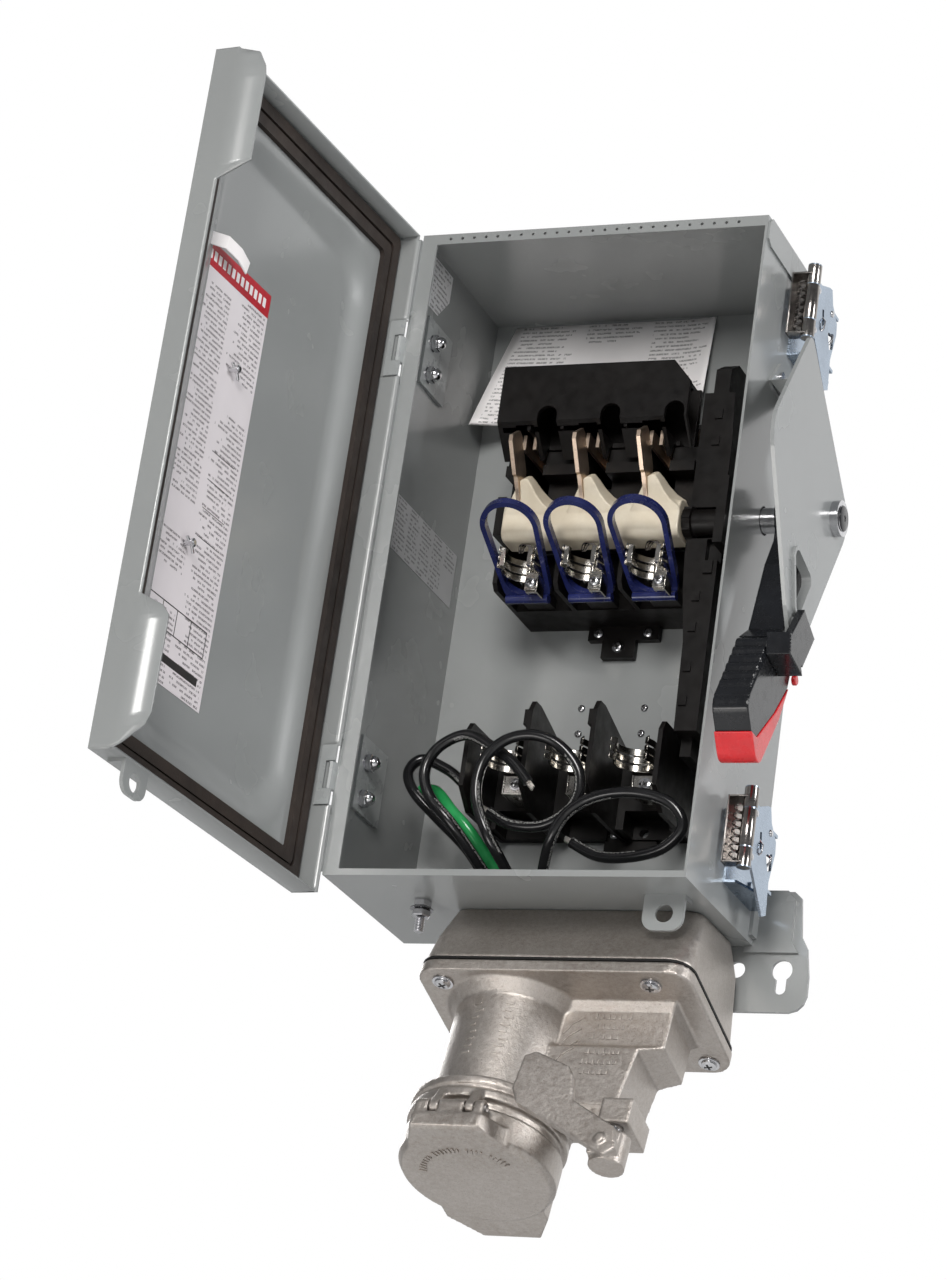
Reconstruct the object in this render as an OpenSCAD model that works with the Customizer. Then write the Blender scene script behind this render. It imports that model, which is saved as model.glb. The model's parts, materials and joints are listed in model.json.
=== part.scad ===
// Fusible disconnect switch in a steel box, with an interlocked plug receptacle under it.
// Millimetres. X to the right, Y into the wall, Z up. Origin: middle of the back face's bottom edge.

/* [Enclosure] */
// Width of the steel box
box_w = 230; // [180:1:320]
// Height of the steel box
box_h = 428; // [360:1:520]
// Depth from the wall to the front lips
box_d = 127; // [110:1:160]
// Sheet thickness
sheet = 1.6; // [1:0.1:3]

/* [Door] */
// Door width
door_w = 238; // [236:1:242]
// Depth of the door's skirt
skirt = 16; // [12:1:24]
// How far the door stands open
door_open = 94; // [0:1:100]

/* [Switch] */
// Distance between poles
pitch = 42; // [36:1:48]
// Height of the switch shaft
shaft_z = 248; // [240:1:256]
// Depth of the switch shaft in front of the wall
shaft_y = -72; // [-76:1:-68]

/* [Receptacle] */
// Tilt of the receptacle's flange
tilt = 17; // [10:1:30]
// Radius of the barrel
barrel_r = 38; // [30:1:44]
// Radius of the ring and the flap
ring_r = 48; // [42:1:54]

/* [Wires] */
// Wire radius over the insulation
wire_r = 3.4; // [2:0.1:5]

/* [Hidden] */
hw = box_w / 2;
in_x = hw - sheet;
poles = [4 - pitch, 4, 4 + pitch];
blade_dx = -3;
hinge_x = -hw - 3.6;
hinge_y = -box_d - 2.6;
knuckle_r = 2.1;
pin_r = 1;
door_top = 427;
door_bot = -12;
tube_sides = 10;
rings_n = 15;
barrel_u = -5;
lid_pin_v = -50;
lid_pin_w = 106;
lever_u = 92;
lever_v = -42;
cover_holes = [[-43, -36], [88, -36], [101, 43], [-44, 43]];
latch_x = 127;
latch_y = -38;
latch_low = 42;
latch_high = 386;
bush_x = -16;
bush_y = -39;
bush_r = 24;
bolt_y = -98;
bolt_rows = [[366, 344], [82, 59]];
leaf_rows = [[328, 366], [43, 81]];
knuckle_gap = 10;
stud_x = -68;
stud_y = -82;
clip_y = -72;
clip_z = 216;
puller_y = -58;
puller_z = 206;

// ---------- shared shapes ----------
module rrect(x0, x1, y0, y1, r) {
  hull() {
    translate([x0 + r, y0 + r]) circle(r = r, $fn = 32);
    translate([x1 - r, y0 + r]) circle(r = r, $fn = 32);
    translate([x0 + r, y1 - r]) circle(r = r, $fn = 32);
    translate([x1 - r, y1 - r]) circle(r = r, $fn = 32);
  }
}

module block(x0, x1, y0, y1, z0, z1) {
  translate([x0, y0, z0]) cube([x1 - x0, y1 - y0, z1 - z0]);
}

module rod_x(x0, x1, y, z, r) {
  translate([x0, y, z]) rotate([0, 90, 0]) cylinder(h = x1 - x0, r = r);
}

module rod_y(x, y0, y1, z, r) {
  translate([x, y1, z]) rotate([90, 0, 0]) cylinder(h = y1 - y0, r = r);
}

module rod_z(x, y, z0, z1, r) {
  translate([x, y, z0]) cylinder(h = z1 - z0, r = r);
}

// a plate with a side profile given as [y, z] points, between two x planes
module side_plate(x0, x1, pts) {
  translate([x0, 0, 0]) rotate([90, 0, 90]) linear_extrude(x1 - x0) polygon(pts);
}

// a plate with a front profile given as [x, z] points, between two y planes
module front_plate(y0, y1, pts) {
  translate([0, y1, 0]) rotate([90, 0, 0]) linear_extrude(y1 - y0) polygon(pts);
}

module in_receptacle() {
  translate([0, -54, -55]) rotate([-tilt, 0, 0]) mirror([0, 0, 1]) children();
}

module door_place() {
  translate([hinge_x, hinge_y, 0]) rotate([0, 0, -door_open]) translate([-hinge_x, -hinge_y, 0]) children();
}

// ---------- swept wires ----------
function blend(a, b, c, d, t) = 0.5 * ((2 * b) + (c - a) * t + (2 * a - 5 * b + 4 * c - d) * t * t
  + (3 * b - a - 3 * c + d) * t * t * t);
function at(p, s) = let(i = min(floor(s), len(p) - 2), t = s - i)
  blend(p[max(i - 1, 0)], p[i], p[i + 1], p[min(i + 2, len(p) - 1)], t);
function unit(v) = v / norm(v);
function path(p, n) = [for (i = [0:n - 1]) at(p, i * (len(p) - 1) / (n - 1))];
function heading(q, i) = unit(q[min(i + 1, len(q) - 1)] - q[max(i - 1, 0)]);
function side(t) = unit(cross(t, [0.1, -1, 0.2]));
function ring(c, t, r) = let(a = side(t), b = cross(t, a))
  [for (k = [0:tube_sides - 1]) c + r * (cos(360 * k / tube_sides) * a + sin(360 * k / tube_sides) * b)];
module tube(p, n, r) {
  q = path(p, n);
  m = tube_sides;
  pts = [for (i = [0:n - 1]) each ring(q[i], heading(q, i), r)];
  walls = [for (i = [0:n - 2]) for (k = [0:m - 1])
    each [[i * m + k, (i + 1) * m + k, i * m + (k + 1) % m],
          [i * m + (k + 1) % m, (i + 1) * m + k, (i + 1) * m + (k + 1) % m]]];
  start = [[for (k = [0:m - 1]) k]];
  finish = [[for (k = [m - 1:-1:0]) (n - 1) * m + k]];
  polyhedron(points = pts, faces = concat(start, walls, finish), convexity = 6);
}
wire_a = [[-27, -46, -6], [-28, -47, 8], [-39, -62, 24], [-55, -84, 47], [-71, -88, 64], [-77, -88, 81], [-70, -88, 96],
  [-53, -88, 104], [-36, -88, 97], [-21, -87, 87], [-9, -86, 74]];
wire_b = [[-16, -54, -6], [-16, -55, 9], [-18, -82, 21], [-26, -96, 37], [-36, -98, 60], [-35, -98, 82], [-23, -98, 96],
  [-5, -97, 100], [12, -94, 94], [25, -90, 78], [23, -87, 60], [6, -86, 47], [-16, -86, 47], [-32, -86, 55]];
wire_c = [[-28, -34, -6], [-29, -35, 8], [-43, -49, 25], [-56, -58, 42], [-75, -62, 59], [-92, -66, 75], [-99, -64, 89],
  [-93, -60, 99], [-76, -58, 93], [-64, -58, 84]];
wire_d = [[-6, -50, -6], [-5, -51, 9], [4, -76, 15], [14, -94, 34], [24, -98, 50], [42, -99, 60], [66, -100, 62],
  [88, -99, 56], [97, -96, 43], [86, -92, 31], [66, -89, 26], [43, -86, 27], [24, -85, 36]];
wire_g = [[-18, -34, -6], [-19, -35, 8], [-33, -47, 24], [-52, -62, 50], [-66, -64, 64], [-80, -60, 78], [-94, -52, 82]];

// ---------- enclosure ----------
module enclosure_shell() color([0.62, 0.65, 0.66]) {
  difference() {
    block(-hw, hw, -box_d, 0, 0, box_h);
    block(-in_x, in_x, -box_d + sheet, -sheet, sheet, box_h - sheet);
    block(-hw + 10, hw - sheet, -box_d - 1, -box_d + sheet + 1, 4, box_h - 7);
    rod_x(hw - sheet - 1, hw + 1, shaft_y, shaft_z, 9);
    rod_z(bush_x, bush_y, -1, sheet + 1, bush_r + 0.05);
    rod_z(stud_x, stud_y, -1, sheet + 1, 3.05);
    for (pair = bolt_rows) for (z = pair) rod_x(-hw - 1, -hw + sheet + 1, bolt_y, z, 3.05);
    for (x = [-96:8:100]) rod_y(x, -box_d - 1, -box_d + sheet + 1, box_h - 3.5, 1);
    for (z = [195, 275]) rod_x(hw - sheet - 1, hw + 1, -30, z, 2.6);
  }
  side_plate(hw, hw + 1.2, [[-3, 410], [-119, 410], [-125, 413], [-125, 424], [-121, 428], [-3, 428]]);
}

module top_mounting_foot() color([0.60, 0.63, 0.64]) difference() {
  rotate([90, 0, 0]) linear_extrude(2.5) rrect(-24, 24, box_h, box_h + 30, 6);
  rod_y(0, -4, 1, box_h + 12, 6.5);
  block(-3.6, 3.6, -4, 1, box_h + 12, box_h + 24);
  rod_y(0, -4, 1, box_h + 24, 3.6);
}

module bottom_mounting_foot() color([0.60, 0.63, 0.64]) difference() {
  union() {
    front_plate(-2.5, 0, [[60, 0], [60, -38], [64, -40.6], [141, -40.6], [146.4, -39], [150, -35.4],
      [151.8, -30], [151.6, -18], [149, -0.6], [144.6, 7], [142, 31], [137.5, 35], [hw, 35], [hw, 0]]);
    front_plate(-5, -2.5, [[hw, 0], [hw, 35], [134, 35], [139, 29], [139, 4], [144, -4], [110, -4], [110, 0]]);
    block(hw, hw + 2.4, -14, -2.5, 4, 33);
  }
  rod_y(134.7, -6, 1, -14.4, 6.5);
  block(131.3, 138.1, -4, 1, -26, -14.4);
  rod_y(134.7, -4, 1, -26, 3.4);
  rod_y(106.4, -6, 1, -14.4, 5);
}

module enclosure_hasp_tab() color([0.62, 0.65, 0.66]) difference() {
  union() {
    translate([0, -94, 0]) rotate([90, 0, 0]) linear_extrude(2.4) hull() {
      translate([79, -3]) square([25.5, 3]);
      translate([87, -14]) circle(r = 8, $fn = 32);
      translate([96.5, -14]) circle(r = 8, $fn = 32);
    }
    block(79, 104.5, -94, -84, -2.4, 0);
  }
  rod_y(92.4, -98, -90, -11.5, 5.5);
}

module hinge_brackets() color([0.66, 0.68, 0.70]) for (i = [0, 1]) {
  z0 = bolt_rows[i][1] - 9;
  z1 = bolt_rows[i][0] + 15;
  k0 = leaf_rows[i][0] + knuckle_gap + 0.3;
  k1 = leaf_rows[i][1] - knuckle_gap - 0.3;
  difference() {
    block(-in_x, -in_x + 2, -108, -70, z0, z1);
    for (z = bolt_rows[i]) rod_x(-hw - 1, -in_x + 4, bolt_y, z, 3.05);
  }
  difference() {
    union() {
      block(-hw - 2, -hw, -box_d + 1, -90, z0, z1);
      hull() {
        rod_z(hinge_x, hinge_y, k0, k1, knuckle_r);
        block(-hw - 2, -hw - 0.4, -box_d + 1, -box_d + 3, k0, k1);
      }
    }
    for (z = bolt_rows[i]) rod_x(-hw - 4, -hw + 1, bolt_y, z, 3.05);
  }
  rod_z(hinge_x, hinge_y, leaf_rows[i][0] + 0.5, leaf_rows[i][1] - 0.5, pin_r);
}

module hinge_bolts() color([0.80, 0.80, 0.82]) for (pair = bolt_rows) for (z = pair) {
  rod_x(-hw - 2, -in_x + 9, bolt_y, z, 3);
  rod_x(-hw - 4.4, -hw - 2, bolt_y, z, 5.4);
}

module hinge_nuts() color([0.84, 0.84, 0.86]) for (pair = bolt_rows) for (z = pair) difference() {
  union() {
    translate([-in_x + 2, bolt_y, z]) rotate([0, 90, 0]) cylinder(h = 4.4, r = 5.6, $fn = 6);
    translate([-in_x + 6.4, bolt_y, z]) rotate([0, 90, 0]) cylinder(h = 4.6, r1 = 4.6, r2 = 2.6);
  }
  rod_x(-in_x + 1, -in_x + 9.05, bolt_y, z, 3.05);
}

module bonding_stud() color([0.82, 0.82, 0.84]) translate([stud_x, stud_y, 0]) {
  rod_z(0, 0, -20, 9, 3);
  difference() {
    union() {
      translate([0, 0, -5]) cylinder(h = 5, r = 6, $fn = 6);
      translate([0, 0, -10.5]) cylinder(h = 4.5, r = 6, $fn = 6);
      rod_z(0, 0, -6, -5, 7);
      translate([0, 0, sheet]) cylinder(h = 5, r = 6, $fn = 6);
    }
    rod_z(0, 0, -20, 10, 3);
  }
}

module inner_rating_label() color([0.90, 0.90, 0.91]) block(-in_x, -in_x + 0.3, -109, -12, 221, 257);

module inner_warning_label() color([0.93, 0.93, 0.93]) {
  block(-in_x, -in_x + 0.3, -110, -80, 388, 422);
}

module instruction_booklet() color([0.95, 0.94, 0.93]) block(-109, 42, -6.2, -sheet - 0.05, 350, 425);

module lock_slot(r) {
  hull() {
    translate([-131, 196]) circle(r = r, $fn = 24);
    translate([-110, 191]) circle(r = r, $fn = 24);
    translate([-121, 171]) circle(r = r, $fn = 24);
  }
}

module guard_outline() {
  difference() {
    hull() {
      translate([-146, 326]) circle(r = 6, $fn = 32);
      translate([-71, 250]) circle(r = 21, $fn = 48);
      translate([-166, 255]) circle(r = 26, $fn = 48);
      translate([-125, 172]) circle(r = 15, $fn = 32);
      translate([-114, 141]) circle(r = 4, $fn = 32);
    }
    lock_slot(5);
    translate([shaft_y, shaft_z]) circle(r = 10, $fn = 48);
  }
}

module guard_plate() color([0.60, 0.61, 0.62]) {
  translate([157.6, 0, 0]) rotate([90, 0, 90]) linear_extrude(2.4) guard_outline();
  translate([155.8, 0, 0]) rotate([90, 0, 90]) linear_extrude(6) difference() {
    lock_slot(7.5);
    lock_slot(5);
  }
  difference() {
    side_plate(hw, hw + 2, [[-66, 346], [-80, 350], [-94, 332], [-88, 329], [-66, 329]]);
    rod_x(hw - 1, hw + 3, -78, 341, 2.05);
  }
  hull() {
    side_plate(hw + 1, hw + 2, [[-94, 332], [-92.4, 333], [-66, 331], [-66, 329]]);
    side_plate(157.6, 158.6, [[-125, 317], [-124, 318], [-88, 287.4], [-88, 285.4]]);
  }
}

module guard_bush() color([0.70, 0.71, 0.72]) difference() {
  union() {
    rod_x(157.6, 160, shaft_y, shaft_z, 9.95);
    rod_x(160, 165, shaft_y, shaft_z, 11);
  }
  rod_x(150, 166, shaft_y, shaft_z, 8.05);
}

module guard_rivets() color([0.78, 0.78, 0.80]) {
  rod_x(hw, hw + 2, -78, 341, 2);
  rod_x(hw + 2, hw + 3.6, -78, 341, 3.6);
}

// ---------- fixed switch parts ----------
module line_base() color([0.05, 0.05, 0.05]) difference() {
  union() {
    difference() {
      block(-59, 66, -44, -sheet, 262, 344);
      for (x = poles) block(x - 15, x + 15, -45, -12, 270, 350);
    }
    for (r = [[-59, -48], [-34, -6], [8, 36], [50, 66]])
      side_plate(r[0], r[1], [[-44, 264], [-61, 264], [-61, 283], [-74, 283], [-74, 290], [-71, 290], [-71, 300], [-44, 300]]);
    block(-59, -53.3, -80, -58.6, 240, 266);
    block(-16, 16, -52, -44, 266, 282);
  }
  rod_x(-60, -53, shaft_y, shaft_z, 5.05);
  rod_y(0, -60, 0, 276, 2.1);
  rod_y(0, -60, -50.5, 276, 4.8);
}

module line_shield() color([0.05, 0.04, 0.04]) difference() {
  union() {
    side_plate(-59, 54, [[-98, 347], [-98, 309], [-78, 291], [-74.5, 301], [-44.3, 301], [-44.3, 345], [-46, 347]]);
    front_plate(-98, -95, [[54, 347], [66, 333], [66, 310], [54, 310]]);
    side_plate(54, 66, [[-95.1, 333], [-98, 333], [-98, 309], [-82, 294.6], [-80, 297], [-95, 311]]);
  }
  block(-56, 60, -95, -44, 304, 344);
  for (x = poles) block(x + blade_dx - 6, x + blade_dx + 6, -96, -44, 280, 312);
  for (x = poles) {
    block(x + 5.6, x + 18.6, -99, -72, 288, 312.5);
    rod_y(x + 12.1, -99, -94, 312.5, 6.5);
  }
}

module line_jaws() color([0.72, 0.62, 0.50]) for (x = poles) {
  block(x + blade_dx - 4.6, x + blade_dx - 2.4, -84, -50, 296, 306);
  block(x + blade_dx + 2.4, x + blade_dx + 4.6, -84, -50, 296, 306);
  block(x + blade_dx - 4.6, x + blade_dx + 4.6, -50, -12, 296, 308);
  block(x - 7, x + 7, -34, -12, 312, 330);
  block(x - 4.6, x + 4.6, -34, -12, 308, 312);
}

module fuse_base() color([0.06, 0.06, 0.06]) difference() {
  union() {
    difference() {
      block(-59, 66, -34, -sheet, 208, 258);
      for (x = poles) block(x - 15, x + 15, -35, -8, 222, 260);
    }
    for (x = [-59, -18.5, 23.5])
      side_plate(x, x + 3, [[-34, 208], [-66, 208], [-70, 212], [-70, 240], [-62, 247], [-34, 252]]);
    side_plate(63.3, 66, [[-34, 208], [-58, 208], [-60, 212], [-60, 240], [-34, 252]]);
    for (x = poles) block(x - 10, x + 8, -50, -34, 209, clip_z);
    block(-17, 30, -7, -sheet, 199, 208);
    block(-7, 15, -7, -sheet, 187, 199);
  }
  rod_x(-60, 67, shaft_y, shaft_z, 16);
  rod_y(4, -10, 0, 194, 2.05);
  for (x = [-10, 23]) rod_y(x, -10, 0, 203.5, 2.05);
}

module clip_ring(x, y) {
  translate([x, y]) difference() {
    circle(r = 13, $fn = 64);
    circle(r = 11.8, $fn = 64);
    polygon([[0, 0], [-10.6, -9], [-10.6, -20], [10.6, -20], [10.6, -9]]);
  }
  for (s = [-1, 1]) translate([x, y])
    polygon([[s * 9.6, -8.6], [s * 10.4, -7.6], [s * 13.6, -12.4], [s * 12.6, -13]]);
}

module fuse_clips_upper() color([0.75, 0.73, 0.68]) for (x = poles) {
  translate([0, 0, clip_z]) linear_extrude(15) clip_ring(x - 1, clip_y);
  block(x - 7, x + 5, -60.4, -40, clip_z, clip_z + 2);
  block(x - 7, x + 5, -60.6, -59, clip_z, clip_z + 15);
}

module fuse_terminals() color([0.78, 0.76, 0.72]) for (x = poles) difference() {
  union() {
    block(x + 5, x + 11.6, -76, -74.4, 202.5, clip_z - 0.3);
    block(x + 5, x + 8, -74.4, -50, clip_z - 1.9, clip_z - 0.3);
  }
  rod_y(x + 8.3, -78, -72, 208, 2.2);
}

module base_screws() color([0.85, 0.85, 0.86]) {
  rod_y(0, -50.4, -2, 276, 2);
  rod_y(0, -53, -50.5, 276, 4.6);
  rod_y(4, -9.6, -7, 194, 4);
  rod_y(4, -7, -2, 194, 2);
  for (x = [-10, 23]) {
    rod_y(x, -8.8, -7, 203.5, 3.4);
    rod_y(x, -7, -2, 203.5, 2);
  }
  rod_y(18, -8.6, -6, 70, 3.6);
  rod_y(18, -6, -2, 70, 2);
  for (x = [-17, 25]) for (z = [138, 155]) rod_y(x, -3.4, -sheet, z, 2.4);
}

module load_base() color([0.05, 0.05, 0.05]) difference() {
  union() {
    difference() {
      block(-59, 69, -26, -sheet, 66, 110);
      for (x = poles) block(x - 15, x + 15, -27, -8, 60, 78);
      block(13.6, 22.4, -27, -6, 60, 75);
    }
    for (x = [-59, 66]) side_plate(x, x + 3, [[-26, 64], [-60, 64], [-76, 76], [-76, 112], [-72, 118],
      [-20, 118], [-sheet, 110], [-sheet, 66]]);
    for (x = [-19, 23]) side_plate(x, x + 3, [[-26, 64], [-60, 64], [-78, 76], [-78, 124], [-74, 131],
      [-66, 131], [-20, 118], [-sheet, 110], [-sheet, 66]]);
    for (x = [-23, 19]) side_plate(x, x + 4, [[-66, 116], [-74, 116], [-74, 126], [-70, 126]]);
    block(12, 46, -6, -sheet, 58, 80);
  }
  rod_y(18, -10, 0, 70, 2.05);
  rod_y(38, -10, 0, 70, 3);
}

module fuse_clips_lower() color([0.72, 0.70, 0.66]) for (x = poles) {
  translate([0, 0, 96]) linear_extrude(15) clip_ring(x - 1, -56);
  block(x - 7, x + 5, -43.6, -26, 96, 98);
  block(x - 7, x + 5, -43.8, -42.2, 96, 111);
}

module load_lugs() color([0.76, 0.76, 0.75]) for (x = poles) difference() {
  block(x - 2, x + 13, -50, -26, 80, 91.5);
  rod_z(x + 5.5, -42, 79, 84, 4);
  rod_y(x + 5.5, -51, -38, 86, 4.1);
}

module lug_screws() color([0.82, 0.82, 0.83]) for (x = poles) difference() {
  rod_y(x + 5.5, -51, -38, 86, 4);
  block(x + 1, x + 10, -52, -49.6, 85.2, 86.8);
}

module mechanism_housing() color([0.06, 0.06, 0.06]) difference() {
  union() {
    front_plate(-72, -sheet, [[74, 112], [72.6, 170], [68, 206], [66.4, 230], [66.4, 336], [86, 336],
      [88, 300], [88.5, 112]]);
    side_plate(72, 82, [[-72, 336], [-72, 352], [-60, 360], [-40, 360], [-40, 336]]);
    block(75, 82, -60, -20, 100, 112);
    for (z = [128, 150, 176, 196, 300, 318]) block(75, 80, -73.4, -72, z, z + 6);
    block(80, 86, -74, -72, 214, 222);
  }
  rod_x(60, 92, shaft_y, shaft_z, 10.4);
  block(60, 92, -73, shaft_y, shaft_z - 10.4, shaft_z + 10.4);
  block(80, 90, -75, -66, 223, 237);
}

module shaft_bearing() color([0.12, 0.12, 0.12]) {
  difference() {
    block(91, 97, -92, -sheet, 226, 270);
    rod_x(90, 98, shaft_y, shaft_z, 8.05);
  }
  block(90, 91, -40, -sheet, 226, 270);
}

// ---------- rotor, drive shaft and handle ----------
function saddle_half() = [[-13, 12], [-9.5, 17], [-7, 22], [-4, 27], [-1.5, 31], [1, 32], [3.6, 32], [6, 28],
  [9, 22], [13, 16.5], [18, 12.4], [18, 0], [-13, 0]];

module rotor() color([0.90, 0.87, 0.78]) difference() {
  union() {
    translate([-52, shaft_y, shaft_z]) rotate([90, 0, 90]) linear_extrude(116.5) rrect(-12.5, 12.5, -12.5, 12.5, 6);
    rod_x(-58, -52, shaft_y, shaft_z, 5);
    for (x = poles) translate([x, shaft_y, shaft_z]) rotate([37, 0, 0]) intersection() {
      translate([0, 8, 0]) rotate([90, 0, 0]) linear_extrude(16) polygon(saddle_half());
      side_plate(-14, 19, [[-8, 0], [-8, 12], [-4, 33], [4, 33], [8, 12], [8, 0]]);
    }
  }
  for (x = poles) translate([x + blade_dx, shaft_y, shaft_z]) rotate([37, 0, 0]) block(-1.3, 1.3, -9, 9, 19, 34);
  rod_x(54, 66, shaft_y, shaft_z, 5.05);
}

module switch_blades() color([0.75, 0.62, 0.50]) for (x = poles)
  translate([x + blade_dx, shaft_y, shaft_z]) rotate([37, 0, 0])
    side_plate(-1.25, 1.25, [[-7, 19.1], [-7, 34], [-8.6, 36], [-8.6, 57], [-6, 60.4], [6, 60.4], [8, 57],
      [8, 34], [7, 32], [7, 19.1]]);

module drive_shaft() color([0.30, 0.30, 0.31]) {
  rod_x(70, 165.4, shaft_y, shaft_z, 8);
  rod_x(64.8, 70, shaft_y, shaft_z, 10);
  rod_x(55, 64.8, shaft_y, shaft_z, 5);
}

module handle_arm() color([0.09, 0.09, 0.09]) {
  difference() {
    union() {
      rod_x(128, 152, shaft_y, shaft_z, 20);
      side_plate(130, 152, [[-92, 248], [-92, 226], [-102, 206], [-116, 158], [-131, 147], [-112, 152], [-94, 142],
        [-86, 160], [-74, 205], [-56, 240]]);
    }
    rod_x(127, 153, shaft_y, shaft_z, 8.02);
  }
}

function arc(c, r, a0, a1, n) = [for (i = [0:n]) c + r * [cos(a0 + (a1 - a0) * i / n), sin(a0 + (a1 - a0) * i / n)]];
function grip_pts() = concat([[-131, 146.6], [-146, 120], [-158, 100]], arc([-151, 95], 8, 140, 225, 4),
  arc([-134, 76], 8, 225, 335, 6), [[-107, 104], [-97, 128], [-94, 141.6], [-112, 151.6]]);

module cap_area() {
  polygon([[-150, 81], [-139, 81], [-114, 106], [-96, 129], [-80, 129], [-80, 50], [-170, 50], [-170, 81]]);
}

module handle_grip() color([0.08, 0.09, 0.10]) {
  translate([130, 0, 0]) rotate([90, 0, 90]) linear_extrude(22) difference() {
    polygon(grip_pts());
    cap_area();
  }
  for (i = [0:5]) hull() {
    translate([131, -133 - 3.6 * i, 141 - 6.6 * i]) rotate([0, 90, 0]) cylinder(h = 20, r = 4, $fn = 24);
    translate([129, -122 - 3.6 * i, 143 - 6.6 * i]) rotate([0, 90, 0]) cylinder(h = 16, r = 3.4, $fn = 24);
  }
}

module handle_end_cap() color([0.85, 0.10, 0.10]) {
  translate([129.4, 0, 0]) rotate([90, 0, 90]) linear_extrude(23.2) intersection() {
    offset(r = 0.4) polygon(grip_pts());
    offset(delta = -0.02) cap_area();
  }
  rod_x(152.6, 155.5, -92.5, 135, 3.2);
}

module lock_tab() color([0.13, 0.14, 0.15]) {
  side_plate(162.3, 167, [[-125, 166], [-102, 157], [-117, 133], [-141, 137], [-142, 143]]);
  side_plate(152, 167, [[-143, 144.5], [-131, 139], [-122, 136], [-116, 128], [-140, 132]]);
}

// ---------- fuse pullers ----------
module puller(x) {
  translate([x - 1, puller_y, puller_z + 5]) rotate([58, 0, 0]) difference() {
    rotate([90, 0, 0]) translate([0, 0, -2.5]) linear_extrude(5) difference() {
      hull() {
        translate([0, 49]) circle(r = 19, $fn = 48);
        translate([0, 6]) circle(r = 15.9, $fn = 48);
      }
      hull() {
        translate([0, 49]) circle(r = 15.6, $fn = 48);
        translate([0, 12]) circle(r = 13.4, $fn = 48);
      }
    }
    translate([-17, -3, -12]) cube([34, 6, 6]);
  }
  rod_x(x - 15, x + 13, puller_y, puller_z, 3);
}

module fuse_puller_a() color([0.15, 0.17, 0.40]) puller(poles[0]);
module fuse_puller_b() color([0.15, 0.17, 0.40]) puller(poles[1]);
module fuse_puller_c() color([0.15, 0.17, 0.40]) puller(poles[2]);

// ---------- door ----------
d_x0 = -hw - 4;
d_x1 = d_x0 + door_w;
d_lip = -box_d - 0.6;
d_out = d_lip - skirt;
module door_emboss(inset, grow) {
  hull() {
    linear_extrude(0.1) rrect(d_x0 + inset, d_x1 - inset, door_bot + inset, door_top - inset, 16);
    translate([0, 0, grow]) linear_extrude(0.1)
      rrect(d_x0 + inset + 10, d_x1 - inset - 10, door_bot + inset + 10, door_top - inset - 10, 24);
  }
}

module door_ear(pts) {
  side_plate(d_x1 - sheet, d_x1, pts);
}

module door_panel() color([0.62, 0.65, 0.66]) door_place() difference() {
  union() {
    block(d_x0, d_x1, d_out, d_lip, door_bot, door_top);
    block(d_x0, d_x0 + sheet, d_lip, hinge_y + 3.8, door_bot, door_top - 4);
    translate([0, d_out, 0]) rotate([90, 0, 0]) door_emboss(21, 7);
    door_ear([[d_lip, 340], [-106.6, 350], [-106.6, 406], [-108, 413], [-113, 422], [d_lip, 426]]);
    door_ear([[d_lip, door_bot], [-110, door_bot + 13], [-107, door_bot + 20], [-107, 66], [-112, 72], [d_lip, 80]]);
  }
  block(d_x0 + sheet, d_x1 - sheet, d_out + sheet, d_lip + 1, door_bot + sheet, door_top - sheet);
  translate([0, d_out + sheet + 0.1, 0]) rotate([90, 0, 0]) door_emboss(22, 7);
  for (row = leaf_rows) block(d_x0 - 1, d_x0 + sheet, hinge_y - 3.3, hinge_y + 6, row[0] - 0.3, row[1] + 0.3);
}

module gasket_ring(a, b) {
  difference() {
    rrect(d_x0 + a, d_x1 - a, door_bot + a, door_top - a, 4);
    rrect(d_x0 + b, d_x1 - b, door_bot + b, door_top - b, 4);
  }
}

module door_gasket() color([0.14, 0.10, 0.09]) door_place()
  translate([0, d_out + sheet, 0]) rotate([-90, 0, 0]) mirror([0, 1, 0]) {
    linear_extrude(1.8) gasket_ring(4, 20.5);
    translate([0, 0, 1.8]) linear_extrude(1.9) gasket_ring(4, 11.5);
    translate([0, 0, 1.8]) linear_extrude(1.4) gasket_ring(13, 20.5);
  }

module door_label() color([0.90, 0.88, 0.88]) door_place()
  block(d_x0 + 126, d_x0 + 205, d_out - 5.25, d_out - 4.9, 53, 322);

module door_hasp_tab() color([0.62, 0.65, 0.66]) door_place() difference() {
  union() {
    translate([0, d_lip, 0]) rotate([90, 0, 0]) linear_extrude(2.2) hull() {
      translate([79, door_bot - 3]) square([25, 3]);
      translate([87, door_bot - 11]) circle(r = 8, $fn = 32);
      translate([96, door_bot - 11]) circle(r = 8, $fn = 32);
    }
    block(79, 104, d_lip - 12, d_lip - 2.2, door_bot - 2.2, door_bot);
  }
  rod_y(91.5, d_lip - 4, d_lip + 1, door_bot - 10.5, 5.5);
}

module door_leaves() color([0.66, 0.68, 0.70]) door_place() for (row = leaf_rows) difference() {
  union() {
    block(d_x0 + sheet, d_x0 + sheet + 1.5, d_out + 7, hinge_y + 3, row[0], row[1]);
    hull() {
      rod_z(hinge_x, hinge_y, row[0], row[1], knuckle_r);
      block(d_x0 + sheet, d_x0 + sheet + 1.5, hinge_y - 2.6, hinge_y, row[0], row[1]);
    }
  }
  rod_z(hinge_x, hinge_y, row[0] - 1, row[1] + 1, pin_r + 0.05);
  rod_z(hinge_x, hinge_y, row[0] + knuckle_gap, row[1] - knuckle_gap, 3.9);
  block(hinge_x - 1, hinge_x + 4, hinge_y, hinge_y + 4, row[0] + knuckle_gap, row[1] - knuckle_gap);
}

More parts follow.
